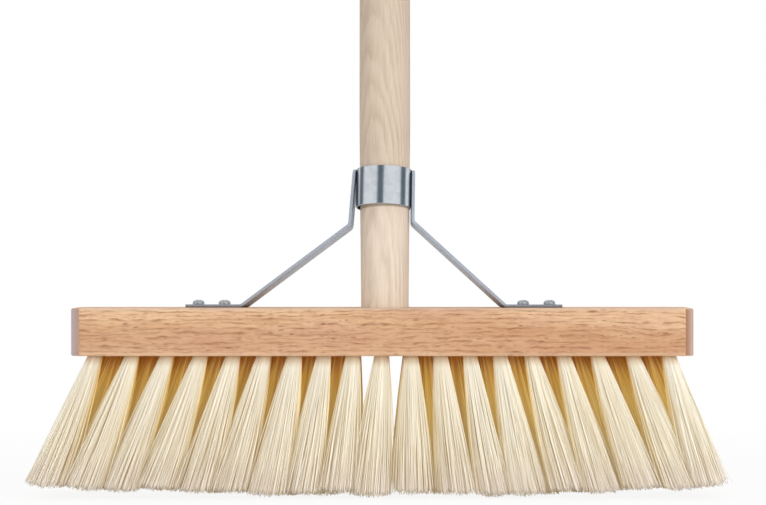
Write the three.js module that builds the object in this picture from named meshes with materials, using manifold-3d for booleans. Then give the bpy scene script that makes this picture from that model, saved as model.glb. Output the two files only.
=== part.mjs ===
// Wide floor broom: a beech block with a fan of bristle tufts under it, a wooden handle that leans
// back out of an angled socket, and a stay of galvanised strip steel that braces the handle.
// Millimetres, +Z up. The origin lies on the floor under the middle of the block, +X runs along
// the block, and the handle leans back towards +Y.
import * as THREE from "three";
import { mergeVertices } from "three/addons/utils/BufferGeometryUtils.js";
import Module from "manifold-3d";

const wasm = await Module();
wasm.setup();
const radians = THREE.MathUtils.degToRad;

// Fits
const CLEARANCE = 0.3;

// Block
const BLOCK_LENGTH = 360;
const BLOCK_DEPTH = 62;
const BLOCK_THICKNESS = 27.5;
const BLOCK_CORNER_CUT = 4.6;
const BLOCK_EDGE_CUT = 1;
const SOCKET_FLOOR = 3;

// Bristles: tufts stand in columns that widen towards the ends and in rows, every second row staggered
const BRISTLE_LENGTH = 82;
const COLUMN_PITCH = 16.45;
const COLUMN_WIDENING = 0.0225;
const ROWS = 5;
const END_MARGIN = 14;
const SIDE_MARGIN = 8;
const SOCKET_MARGIN = 5;
const FAN_REACH = 31.7;
const FAN_WIDTH = 98;
const FAN_ACROSS = 0.3;
const TRIM_RADIUS = 3400;
const TRIM_FLAT = 0.5;
const TUFT_ROOT_SPREAD = 2;
const TUFT_TIP_SPREAD = 6.4;
const STRAND_ROOT_WIDTH = 1.6;
const STRAND_TIP_WIDTH = 2;
const STRAND_EMBED = 1.5;
const BACKING_THICKNESS = 3;
const BACKING_MARGIN = 2;

// Handle
const HANDLE_LENGTH = 1400;
const HANDLE_DIAMETER = 30;
const HANDLE_NECK_DIAMETER = 27.9;
const HANDLE_NECK_LENGTH = 5;
const HANDLE_TAPER_LENGTH = 105;
const HANDLE_OFFSET = 1.5;
const HANDLE_LEAN = radians(10);
const HANDLE_DOME = 8;
const HANDLE_END_CUT = 1;
const HANDLE_SIDES = 36;

// Stay: a lapped collar round the handle, with a bent strip leg on each side
const COLLAR_RISE = 70.6;
const COLLAR_HEIGHT = 22.9;
const COLLAR_THICKNESS = 0.7;
const COLLAR_TILT = radians(1.2);
const COLLAR_OFFSET = 0.9;
const COLLAR_LAP = 14;
const COLLAR_JOGGLE = 8;
const STRIP_WIDTH = 12.5;
const STRIP_THICKNESS = 1.8;
const STRIP_BEND_RADIUS = 2;
const STRIP_CORNER_RADIUS = 4;
const FOOT_LENGTH = 34.6;
const LEFT_TURN = radians(6.5);
const LEFT_BEND_DROP = 22.2;
const LEFT_SPLAY = 1.9;
const LEFT_FOOT_REACH = 81.2;
const RIGHT_TURN = radians(3);
const RIGHT_BEND_DROP = 19.7;
const RIGHT_SPLAY = 0;
const RIGHT_FOOT_REACH = 71;

// Screws
const SCREW_HEAD_DIAMETER = 7;
const SCREW_HEAD_HEIGHT = 2.8;
const SCREW_SHANK_DIAMETER = 3.6;
const SCREW_LENGTH = 15;
const SCREW_POINT = 3;
const SCREW_END_DISTANCE = 7.6;
const SCREW_PITCH = 15.4;

// Levels and radii that follow from the sizes above
const BLOCK_UNDERSIDE = BRISTLE_LENGTH;
const BLOCK_TOP = BLOCK_UNDERSIDE + BLOCK_THICKNESS;
const ROW_PITCH = (BLOCK_DEPTH - 2 * SIDE_MARGIN) / (ROWS - 1);
const POCKET_CEILING = BLOCK_UNDERSIDE + BACKING_THICKNESS + CLEARANCE;
const SOCKET_DEPTH = socketDepth();
const COLLAR_INNER_RADIUS = collarInnerRadius();
const COLLAR_OUTER_RADIUS = COLLAR_INNER_RADIUS + COLLAR_THICKNESS;
const COLLAR_REAR_RADIUS = COLLAR_OUTER_RADIUS + COLLAR_THICKNESS + CLEARANCE;

// Finishes
const ASH = finish(0xd9c8b3, 0.62, 0);
const BEECH = finish(0xd6ab84, 0.58, 0);
const ZINC = finish(0xc2c7cc, 0.28, 1);
const SCREW_STEEL = finish(0xb4b8bc, 0.32, 1);
const BRISTLE = finish(0xddccaf, 0.6, 0);

function finish(color, roughness, metalness) {
  return new THREE.MeshStandardMaterial({ color, roughness, metalness, flatShading: true });
}

// Radius of the handle, whose neck widens into it, at a distance along its axis from the top of the block
function handleRadius(along) {
  const share = THREE.MathUtils.clamp((along - HANDLE_NECK_LENGTH) / HANDLE_TAPER_LENGTH, 0, 1);
  return THREE.MathUtils.lerp(HANDLE_NECK_DIAMETER, HANDLE_DIAMETER, share) / 2;
}

// The socket runs down its leaning axis until its lowest edge leaves the floor of wood under it
function socketDepth() {
  const dip = (HANDLE_NECK_DIAMETER / 2) * Math.sin(HANDLE_LEAN);
  const room = BLOCK_TOP - POCKET_CEILING - SOCKET_FLOOR;
  return (room - dip) / Math.cos(HANDLE_LEAN);
}

// The collar clears the handle at both of its rims although it sits at a small tilt and off the handle's axis
function collarInnerRadius() {
  const halfHeight = COLLAR_HEIGHT / 2;
  const slip = halfHeight * Math.tan(COLLAR_TILT);
  const apart = HANDLE_OFFSET - COLLAR_OFFSET;
  const lowerReach = handleRadius(COLLAR_RISE - halfHeight) + Math.abs(apart + slip);
  const upperReach = handleRadius(COLLAR_RISE + halfHeight) + Math.abs(apart - slip);
  return Math.max(lowerReach, upperReach) + CLEARANCE;
}

// Closed geometry with shared vertices, no empty triangles and its faces pointing out
function closed(geometry) {
  const bare = new THREE.BufferGeometry();
  bare.setAttribute("position", geometry.getAttribute("position").clone());
  bare.setIndex(geometry.index);
  const merged = mergeVertices(bare);
  const index = merged.index.array;
  const triangles = [];
  for (let i = 0; i < index.length; i += 3) {
    const [a, b, c] = [index[i], index[i + 1], index[i + 2]];
    if (a !== b && b !== c && c !== a) triangles.push(a, b, c);
  }
  merged.setIndex(triangles);
  if (signedVolume(merged) < 0) merged.setIndex(triangles.reverse());
  return merged;
}

function signedVolume(geometry) {
  const positions = geometry.getAttribute("position");
  const corners = [new THREE.Vector3(), new THREE.Vector3(), new THREE.Vector3()];
  let volume = 0;
  for (let i = 0; i < geometry.index.count; i += 3) {
    corners.forEach((corner, k) => corner.fromBufferAttribute(positions, geometry.index.getX(i + k)));
    volume += corners[0].dot(corners[1].cross(corners[2])) / 6;
  }
  return volume;
}

function solid(geometry) {
  const shell = closed(geometry);
  const vertProperties = new Float32Array(shell.getAttribute("position").array);
  const triVerts = new Uint32Array(shell.index.array);
  return new wasm.Manifold(new wasm.Mesh({ numProp: 3, vertProperties, triVerts }));
}

function geometryOf(body) {
  const mesh = body.getMesh();
  const geometry = new THREE.BufferGeometry();
  geometry.setAttribute("position", new THREE.BufferAttribute(mesh.vertProperties, 3));
  geometry.setIndex(new THREE.BufferAttribute(mesh.triVerts, 1));
  geometry.computeVertexNormals();
  return geometry;
}

function named(name, body, material) {
  const mesh = new THREE.Mesh(geometryOf(body), material);
  mesh.name = name;
  return mesh;
}

// A body turned about the Z axis from its profile of radius and height
function turned(profile, sides) {
  const points = profile.map(([radius, height]) => new THREE.Vector2(radius, height));
  return new THREE.LatheGeometry(points, sides).rotateX(Math.PI / 2);
}

// A straight round hole cutter along Z, from one height to another
function drill(diameter, from, to) {
  const sides = 20;
  const cutter = new THREE.CylinderGeometry(diameter / 2, diameter / 2, to - from, sides);
  return cutter.rotateX(Math.PI / 2).translate(0, 0, (from + to) / 2);
}

function box(from, to) {
  const size = new THREE.Vector3().subVectors(to, from);
  const middle = new THREE.Vector3().addVectors(from, to).multiplyScalar(0.5);
  return new THREE.BoxGeometry(size.x, size.y, size.z).translate(middle.x, middle.y, middle.z);
}

// The handle's frame stands on the top of the block, a little to the right of its middle, and leans back.
// The collar's frame rides in it, a little to the left of its axis.
const handleFrame = new THREE.Group();
handleFrame.position.set(HANDLE_OFFSET, 0, BLOCK_TOP);
handleFrame.rotation.x = -HANDLE_LEAN;
const collarFrame = new THREE.Group();
collarFrame.position.set(COLLAR_OFFSET - HANDLE_OFFSET, 0, COLLAR_RISE);
collarFrame.rotation.y = COLLAR_TILT;
handleFrame.add(collarFrame);
handleFrame.updateMatrixWorld(true);

// Profile of the handle from its end in the socket to its domed top, grown by a clearance for the socket
function handleProfile(gap) {
  const end = -SOCKET_DEPTH + CLEARANCE - gap;
  const top = HANDLE_LENGTH - SOCKET_DEPTH + CLEARANCE;
  const profile = [
    [0, end],
    [handleRadius(end) - HANDLE_END_CUT + gap, end],
    [handleRadius(end + HANDLE_END_CUT) + gap, end + HANDLE_END_CUT],
    [handleRadius(HANDLE_NECK_LENGTH) + gap, HANDLE_NECK_LENGTH],
    [HANDLE_DIAMETER / 2 + gap, HANDLE_NECK_LENGTH + HANDLE_TAPER_LENGTH],
  ];
  const domeSteps = 6;
  for (let i = 0; i < domeSteps; i += 1) {
    const angle = (i / domeSteps) * (Math.PI / 2);
    const inset = HANDLE_DOME * (1 - Math.cos(angle));
    profile.push([HANDLE_DIAMETER / 2 - inset + gap, top - HANDLE_DOME * (1 - Math.sin(angle))]);
  }
  profile.push([HANDLE_DIAMETER / 2 - HANDLE_DOME + gap, top], [0, top]);
  return profile;
}

// The screw that pins the collar enters from behind, square to the collar's axis
const collarScrew = new THREE.Object3D();
collarScrew.position.y = COLLAR_REAR_RADIUS;
collarScrew.rotation.x = -Math.PI / 2;
collarFrame.add(collarScrew);
collarFrame.updateMatrixWorld(true);

function collarScrewHole() {
  const hole = drill(SCREW_SHANK_DIAMETER + 2 * CLEARANCE, -SCREW_LENGTH - CLEARANCE, SCREW_HEAD_HEIGHT);
  return hole.applyMatrix4(collarScrew.matrix);
}

function handleBody() {
  const stick = solid(turned(handleProfile(0), HANDLE_SIDES));
  return stick.subtract(solid(collarScrewHole().applyMatrix4(collarFrame.matrix)));
}

// A band rolled once round the handle, whose outer end joggles out over the inner one at the back
function collarBody() {
  const middleRadius = (COLLAR_INNER_RADIUS + COLLAR_OUTER_RADIUS) / 2;
  const halfLap = COLLAR_LAP / 2 / middleRadius;
  const joggle = COLLAR_JOGGLE / middleRadius;
  const rear = Math.PI / 2;
  const start = rear - halfLap;
  const end = rear + 2 * Math.PI + halfLap;
  const lapStart = rear + 2 * Math.PI - halfLap;
  const step = COLLAR_THICKNESS + CLEARANCE;
  const spans = 54;
  const bandPoint = (share, offset) => {
    const angle = THREE.MathUtils.lerp(start, end, share);
    const rise = step * THREE.MathUtils.smoothstep(angle, lapStart - joggle, lapStart);
    const radius = middleRadius + rise + offset;
    return new THREE.Vector2(radius * Math.cos(angle), radius * Math.sin(angle));
  };
  const shares = Array.from({ length: spans + 1 }, (_, i) => i / spans);
  const outside = shares.map((share) => bandPoint(share, COLLAR_THICKNESS / 2));
  const inside = shares.map((share) => bandPoint(share, -COLLAR_THICKNESS / 2));
  const outline = new THREE.Shape([...outside, ...inside.reverse()]);
  const band = new THREE.ExtrudeGeometry(outline, { depth: COLLAR_HEIGHT, bevelEnabled: false });
  band.translate(0, 0, -COLLAR_HEIGHT / 2);
  return solid(band).subtract(solid(collarScrewHole()));
}

// One line straight across a bent strip: its middle, its direction, its half length and the strip's normal
function crossing(middle, across, half, normal) {
  return { middle, across, half, normal };
}

// Lines across the rounded end of a strip, ordered along the strip's direction of travel
function roundedEnd(tip, travel, across, normal, leaving) {
  const steps = 4;
  const lines = [];
  for (let i = 0; i <= steps; i += 1) {
    const angle = (i / steps) * (Math.PI / 2);
    const half = STRIP_WIDTH / 2 - STRIP_CORNER_RADIUS * (1 - Math.sin(angle));
    const inset = STRIP_CORNER_RADIUS * (1 - Math.cos(angle));
    const middle = tip.clone().addScaledVector(travel, leaving ? inset : -inset);
    lines.push(crossing(middle, across, half, normal));
  }
  return leaving ? lines : lines.reverse();
}

// Lines across a bend about one straight fold, which may run at a slant to the strip
function foldLines(corner, before, after, normalBefore, fold) {
  const steps = 5;
  const radius = STRIP_BEND_RADIUS + STRIP_THICKNESS / 2;
  const drift = before.dot(fold);
  const square = Math.sqrt(1 - drift * drift);
  const ahead = before.clone().addScaledVector(fold, -drift).divideScalar(square);
  const afterAhead = after.clone().addScaledVector(fold, -drift).divideScalar(square);
  const turn = ahead.angleTo(afterAhead);
  const tangent = radius * Math.tan(turn / 2);
  const begin = corner.clone().addScaledVector(before, -tangent / square);
  const lines = [];
  for (let i = 0; i <= steps; i += 1) {
    const angle = (turn * i) / steps;
    const middle = begin
      .clone()
      .addScaledVector(ahead, radius * Math.sin(angle))
      .addScaledVector(normalBefore, radius * (1 - Math.cos(angle)))
      .addScaledVector(fold, ((2 * tangent * drift) / square) * (i / steps));
    const normal = normalBefore.clone().multiplyScalar(Math.cos(angle)).addScaledVector(ahead, -Math.sin(angle));
    lines.push(crossing(middle, fold, STRIP_WIDTH / 2 / square, normal));
  }
  return lines;
}

// A strip of constant thickness lofted through the lines across it
function loftedStrip(lines) {
  const positions = [];
  for (const { middle, across, half, normal } of lines) {
    for (const [side, face] of [[-1, -1], [1, -1], [1, 1], [-1, 1]]) {
      const point = middle.clone().addScaledVector(across, side * half);
      point.addScaledVector(normal, (face * STRIP_THICKNESS) / 2);
      positions.push(point.x, point.y, point.z);
    }
  }
  const last = 4 * (lines.length - 1);
  const triangles = [0, 1, 2, 0, 2, 3, last, last + 2, last + 1, last, last + 3, last + 2];
  for (let ring = 0; ring < last; ring += 4) {
    for (let k = 0; k < 4; k += 1) {
      const next = (k + 1) % 4;
      triangles.push(ring + k, ring + 4 + k, ring + 4 + next, ring + k, ring + 4 + next, ring + next);
    }
  }
  const geometry = new THREE.BufferGeometry();
  geometry.setAttribute("position", new THREE.Float32BufferAttribute(positions, 3));
  geometry.setIndex(triangles);
  return geometry;
}

// Route of one leg: down the collar's side, which it may leave at a splay, out along the slope, and flat
// along the top of the block. The leg touches the collar a small turn behind its side. The fold at the foot
// runs at a slant, because the slope leans with the handle and the foot lies level.
function legRoute(side, turn, bendDrop, splay, footReach) {
  const offset = COLLAR_OUTER_RADIUS + CLEARANCE + STRIP_THICKNESS / 2;
  const collarMatrix = collarFrame.matrixWorld;
  const away = new THREE.Vector3(side * Math.cos(turn), Math.sin(turn), 0);
  const top = away.clone().multiplyScalar(offset).setZ(COLLAR_HEIGHT / 2).applyMatrix4(collarMatrix);
  const bend = away.clone().multiplyScalar(offset + splay).setZ(-bendDrop).applyMatrix4(collarMatrix);
  const rearward = new THREE.Vector3(-side * Math.sin(turn), Math.cos(turn), 0);
  const across = rearward.transformDirection(collarMatrix);
  const foot = new THREE.Vector3(side * footReach, 0, BLOCK_TOP + STRIP_THICKNESS / 2);
  const offPlane = foot.clone().sub(bend).dot(across);
  foot.y -= offPlane / across.y;
  const down = bend.clone().sub(top).normalize();
  const outward = down.clone().cross(across).multiplyScalar(side);
  const slope = foot.clone().sub(bend).normalize();
  const slopeNormal = slope.clone().cross(across).multiplyScalar(side);
  const up = new THREE.Vector3(0, 0, 1);
  const footFold = up.clone().cross(slopeNormal).multiplyScalar(side).normalize();
  const drift = slope.dot(footFold);
  const footAhead = footFold.clone().cross(up).multiplyScalar(side * Math.sqrt(1 - drift * drift));
  const footTravel = footAhead.addScaledVector(footFold, drift);
  const footAcross = up.clone().cross(footTravel).multiplyScalar(side);
  return { top, bend, foot, down, slope, footTravel, across, footFold, footAcross, outward, slopeNormal, up };
}

function footPoint(route, fromEnd) {
  return route.foot.clone().addScaledVector(route.footTravel, FOOT_LENGTH - fromEnd);
}

// Centres of the two screws in a foot, on its upper face, the outer one first
function footScrewPlaces(route) {
  return [SCREW_END_DISTANCE, SCREW_END_DISTANCE + SCREW_PITCH].map((fromEnd) => {
    const place = footPoint(route, fromEnd);
    return place.setZ(BLOCK_TOP + STRIP_THICKNESS);
  });
}

function legBody(route) {
  const lines = [
    ...roundedEnd(route.top, route.down, route.across, route.outward, true),
    ...foldLines(route.bend, route.down, route.slope, route.outward, route.across),
    ...foldLines(route.foot, route.slope, route.footTravel, route.slopeNormal, route.footFold),
    ...roundedEnd(footPoint(route, 0), route.footTravel, route.footAcross, route.up, false),
  ];
  const hole = drill(SCREW_SHANK_DIAMETER + 2 * CLEARANCE, -2 * STRIP_THICKNESS, STRIP_THICKNESS);
  return footScrewPlaces(route).reduce((strip, place) => {
    const cutter = hole.clone().translate(place.x, place.y, place.z);
    return strip.subtract(solid(cutter));
  }, solid(loftedStrip(lines)));
}

// A wood screw with a domed head, its head standing on z = 0 and its point below
function screwBody() {
  const head = SCREW_HEAD_DIAMETER / 2;
  const shank = SCREW_SHANK_DIAMETER / 2;
  const rim = SCREW_HEAD_HEIGHT * 0.3;
  const profile = [
    [0, -SCREW_LENGTH],
    [shank, -SCREW_LENGTH + SCREW_POINT],
    [shank, 0],
    [head, 0],
  ];
  const domeSteps = 4;
  for (let i = 0; i < domeSteps; i += 1) {
    const angle = (i / domeSteps) * (Math.PI / 2);
    profile.push([head * Math.cos(angle), rim + (SCREW_HEAD_HEIGHT - rim) * Math.sin(angle)]);
  }
  profile.push([0, SCREW_HEAD_HEIGHT]);
  const sides = 16;
  return solid(turned(profile, sides));
}

// Distance of a tuft column from the middle of the block
function columnPlace(column) {
  return COLUMN_PITCH * column + COLUMN_WIDENING * column ** 3;
}

// Places of the tuft columns of one row, as many as the block has room for
function columnPlaces(staggered) {
  const limit = BLOCK_LENGTH / 2 - END_MARGIN;
  const places = staggered ? [] : [0];
  for (let column = staggered ? 0.5 : 1; columnPlace(column) <= limit; column += 1) {
    places.unshift(-columnPlace(column));
    places.push(columnPlace(column));
  }
  return places;
}

// Roots of all tufts on the underside of the block, with none under the handle's socket
function tuftRoots() {
  const bareRadius = HANDLE_NECK_DIAMETER / 2 + SOCKET_MARGIN;
  const roots = [];
  for (let row = 0; row < ROWS; row += 1) {
    const y = SIDE_MARGIN - BLOCK_DEPTH / 2 + row * ROW_PITCH;
    for (const x of columnPlaces(row % 2 === 1)) {
      if (Math.hypot(x - HANDLE_OFFSET, y) > bareRadius) roots.push({ x, y });
    }
  }
  return roots;
}

// Height of a strand's tip: the fan is trimmed to a wide curve and flat where it stands
function tipHeight(x) {
  return Math.max(0, (x * x) / (2 * TRIM_RADIUS) - TRIM_FLAT);
}

// A square set on its corner, as one end of a strand
function diamond(x, y, z, width) {
  const reach = width / Math.SQRT2;
  return [x - reach, y, z, x, y - reach, z, x + reach, y, z, x, y + reach, z];
}

// One four-sided strand of a tuft, offset towards one of its corners and splayed out to its tip
function strand(root, cornerX, cornerY) {
  const lean = FAN_REACH * Math.tanh(root.x / FAN_WIDTH);
  const tipX = root.x + lean + cornerX * TUFT_TIP_SPREAD;
  const tipY = root.y * (1 + FAN_ACROSS) + cornerY * TUFT_TIP_SPREAD;
  const rootX = root.x + cornerX * TUFT_ROOT_SPREAD;
  const rootY = root.y + cornerY * TUFT_ROOT_SPREAD;
  const positions = [
    ...diamond(tipX, tipY, tipHeight(tipX), STRAND_TIP_WIDTH),
    ...diamond(rootX, rootY, BLOCK_UNDERSIDE + STRAND_EMBED, STRAND_ROOT_WIDTH),
  ];
  const triangles = [0, 2, 1, 0, 3, 2, 4, 5, 6, 4, 6, 7];
  for (let k = 0; k < 4; k += 1) {
    const next = (k + 1) % 4;
    triangles.push(k, next, 4 + next, k, 4 + next, 4 + k);
  }
  const geometry = new THREE.BufferGeometry();
  geometry.setAttribute("position", new THREE.Float32BufferAttribute(positions, 3));
  geometry.setIndex(triangles);
  return solid(geometry);
}

const TUFT_CORNERS = [[0, 0], [-1, -1], [1, -1], [1, 1], [-1, 1]];

// A slice of the backing with its tufts
function bristleBody(roots, from, to) {
  const slice = solid(
    box(
      new THREE.Vector3(from.x, from.y, BLOCK_UNDERSIDE),
      new THREE.Vector3(to.x, to.y, BLOCK_UNDERSIDE + BACKING_THICKNESS),
    ),
  );
  const strands = roots.flatMap((root) => TUFT_CORNERS.map(([x, y]) => strand(root, x, y)));
  return strands.reduce((body, one) => body.add(one), slice);
}

// Half size of the backing, which reaches a margin past the outermost strands
function backingHalf(roots) {
  const reach = TUFT_ROOT_SPREAD + STRAND_ROOT_WIDTH / 2 + BACKING_MARGIN;
  const halfLength = Math.max(...roots.map((root) => root.x)) + reach;
  const halfDepth = Math.max(...roots.map((root) => root.y)) + reach;
  return new THREE.Vector2(halfLength, halfDepth);
}

// Four slices side by side along the block. Each cut runs between a column and the staggered one beside it.
function bristleNodes(roots) {
  const half = backingHalf(roots);
  const columns = columnPlaces(false).length;
  const outerCut = columnPlace(Math.floor(columns / 4) + 0.75);
  const middleCut = columnPlace(0.25);
  const gap = CLEARANCE / 2;
  const slices = {
    far_left_bristles: [-half.x, -outerCut - gap],
    near_left_bristles: [-outerCut + gap, middleCut - gap],
    near_right_bristles: [middleCut + gap, outerCut - gap],
    far_right_bristles: [outerCut + gap, half.x],
  };
  return Object.entries(slices).map(([name, [left, right]]) => {
    const inside = roots.filter((root) => root.x > left && root.x < right);
    const body = bristleBody(inside, new THREE.Vector2(left, -half.y), new THREE.Vector2(right, half.y));
    return named(name, body, BRISTLE);
  });
}

// The block: bevelled all round, with a socket for the handle, a pocket for the backing and screw holes
function blockBody(roots, screwPlaces) {
  const halfLength = BLOCK_LENGTH / 2 - BLOCK_EDGE_CUT;
  const halfDepth = BLOCK_DEPTH / 2 - BLOCK_EDGE_CUT;
  const cut = BLOCK_CORNER_CUT;
  const outline = new THREE.Shape();
  outline.moveTo(-halfLength + cut, -halfDepth);
  outline.lineTo(halfLength - cut, -halfDepth);
  outline.lineTo(halfLength, -halfDepth + cut);
  outline.lineTo(halfLength, halfDepth - cut);
  outline.lineTo(halfLength - cut, halfDepth);
  outline.lineTo(-halfLength + cut, halfDepth);
  outline.lineTo(-halfLength, halfDepth - cut);
  outline.lineTo(-halfLength, -halfDepth + cut);
  outline.closePath();
  const body = new THREE.ExtrudeGeometry(outline, {
    depth: BLOCK_THICKNESS - 2 * BLOCK_EDGE_CUT,
    bevelSize: BLOCK_EDGE_CUT,
    bevelThickness: BLOCK_EDGE_CUT,
    bevelSegments: 1,
  });
  body.translate(0, 0, BLOCK_UNDERSIDE + BLOCK_EDGE_CUT);
  const half = backingHalf(roots).addScalar(CLEARANCE);
  const pocket = box(
    new THREE.Vector3(-half.x, -half.y, BLOCK_UNDERSIDE - BLOCK_THICKNESS),
    new THREE.Vector3(half.x, half.y, POCKET_CEILING),
  );
  const socket = turned(handleProfile(CLEARANCE), HANDLE_SIDES).applyMatrix4(handleFrame.matrix);
  const hole = drill(SCREW_SHANK_DIAMETER + 2 * CLEARANCE, -SCREW_LENGTH - CLEARANCE, SCREW_LENGTH);
  const holes = screwPlaces.map((place) => hole.clone().translate(place.x, place.y, place.z));
  return [pocket, socket, ...holes].reduce((wood, cutter) => wood.subtract(solid(cutter)), solid(body));
}

const roots = tuftRoots();
const leftRoute = legRoute(-1, LEFT_TURN, LEFT_BEND_DROP, LEFT_SPLAY, LEFT_FOOT_REACH);
const rightRoute = legRoute(1, RIGHT_TURN, RIGHT_BEND_DROP, RIGHT_SPLAY, RIGHT_FOOT_REACH);
const screwNames = [
  "left_foot_outer_screw",
  "left_foot_inner_screw",
  "right_foot_outer_screw",
  "right_foot_inner_screw",
];
const screwPlaces = [...footScrewPlaces(leftRoute), ...footScrewPlaces(rightRoute)];

const broom = new THREE.Group();
broom.add(named("block", blockBody(roots, screwPlaces), BEECH));
broom.add(...bristleNodes(roots));
broom.add(named("left_stay_leg", legBody(leftRoute), ZINC));
broom.add(named("right_stay_leg", legBody(rightRoute), ZINC));
screwNames.forEach((name, i) => {
  const screw = named(name, screwBody(), SCREW_STEEL);
  screw.position.copy(screwPlaces[i]);
  broom.add(screw);
});
handleFrame.add(named("handle", handleBody(), ASH));
collarFrame.add(named("stay_collar", collarBody(), ZINC));
collarScrew.add(named("collar_screw", screwBody(), SCREW_STEEL));
broom.add(handleFrame);

export default broom;
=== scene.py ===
"""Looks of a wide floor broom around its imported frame: beech, ash, zinc-coated steel and cream bristles.

Lengths are metres in the frame's own axes: +X along the block, +Y to the back and +Z up from the floor.
"""

import logging
import math
import random
from dataclasses import dataclass, field
from enum import Enum

import bmesh
import bpy
from mathutils import Matrix, Vector


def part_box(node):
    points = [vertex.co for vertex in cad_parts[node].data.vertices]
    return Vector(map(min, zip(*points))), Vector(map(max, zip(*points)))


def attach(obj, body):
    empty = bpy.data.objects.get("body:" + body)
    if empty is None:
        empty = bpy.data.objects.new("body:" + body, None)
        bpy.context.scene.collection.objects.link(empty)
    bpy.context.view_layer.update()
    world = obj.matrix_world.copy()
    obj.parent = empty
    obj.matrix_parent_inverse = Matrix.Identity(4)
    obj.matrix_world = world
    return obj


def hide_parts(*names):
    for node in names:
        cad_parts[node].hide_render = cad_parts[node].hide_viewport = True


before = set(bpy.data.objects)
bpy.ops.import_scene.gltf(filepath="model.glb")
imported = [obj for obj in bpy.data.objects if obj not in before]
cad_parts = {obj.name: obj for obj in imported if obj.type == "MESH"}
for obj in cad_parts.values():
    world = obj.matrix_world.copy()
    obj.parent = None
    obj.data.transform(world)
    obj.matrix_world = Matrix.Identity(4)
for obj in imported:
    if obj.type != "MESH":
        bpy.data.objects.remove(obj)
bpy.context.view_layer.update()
BODY = "root"
MM = 0.001
GOLDEN_TURN = math.pi * (3 - math.sqrt(5))
NOISE_MIDDLE = 0.5
WHITE = (1.0, 1.0, 1.0, 1.0)
UP = Vector((0, 0, 1))
log = logging.getLogger("broom")

Colour = tuple[float, float, float, float]
Corner = tuple[float, float, float]
Pair = tuple[float, float]


def linear(red: int, green: int, blue: int) -> Colour:
    """Turns a screen colour into the linear colour that a shader takes.

    Args:
        red: Red from 0 to 255.
        green: Green from 0 to 255.
        blue: Blue from 0 to 255.

    Returns:
        The linear colour with full alpha.
    """
    def channel(level: int) -> float:
        """Undoes the screen curve of one channel."""
        share = level / 255
        return share / 12.92 if share <= 0.04045 else ((share + 0.055) / 1.055) ** 2.4

    return channel(red), channel(green), channel(blue), 1.0


class SocketKind(Enum):
    """Kinds of named input that a Geometry Nodes tree takes."""

    NUMBER = "NodeSocketFloat"
    COUNT = "NodeSocketInt"
    OBJECT = "NodeSocketObject"
    MATERIAL = "NodeSocketMaterial"


class PointKind(Enum):
    """Kinds of value that a point carries."""

    NUMBER = "FLOAT"
    COUNT = "INT"
    VECTOR = "FLOAT_VECTOR"


class Value:
    """One output socket of a node tree. Arithmetic on it adds Math or Vector Math nodes."""

    def __init__(self, graph: "Graph", socket: bpy.types.NodeSocket) -> None:
        """Wraps a socket of a graph."""
        self.graph = graph
        self.socket = socket

    def sibling(self, identifier: str) -> "Value":
        """Gives another output of the same node."""
        return self.graph.output(self.socket.node, identifier)

    def __add__(self, other: "Term") -> "Value":
        """Adds the other term."""
        return self.graph.arithmetic("ADD", self, other)

    def __radd__(self, other: "Term") -> "Value":
        """Is added to the other term."""
        return self.graph.arithmetic("ADD", other, self)

    def __sub__(self, other: "Term") -> "Value":
        """Takes the other term away."""
        return self.graph.arithmetic("SUBTRACT", self, other)

    def __rsub__(self, other: "Term") -> "Value":
        """Is taken away from the other term."""
        return self.graph.arithmetic("SUBTRACT", other, self)

    def __mul__(self, other: "Term") -> "Value":
        """Multiplies by the other term."""
        return self.graph.arithmetic("MULTIPLY", self, other)

    def __rmul__(self, other: "Term") -> "Value":
        """Multiplies the other term."""
        return self.graph.arithmetic("MULTIPLY", other, self)

    def __truediv__(self, other: "Term") -> "Value":
        """Divides by the other term."""
        return self.graph.arithmetic("DIVIDE", self, other)

    def __rtruediv__(self, other: "Term") -> "Value":
        """Divides the other term."""
        return self.graph.arithmetic("DIVIDE", other, self)

    def __pow__(self, other: "Term") -> "Value":
        """Raises to the power of the other term."""
        return self.graph.arithmetic("POWER", self, other)


Term = Value | Corner | float | int


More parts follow.
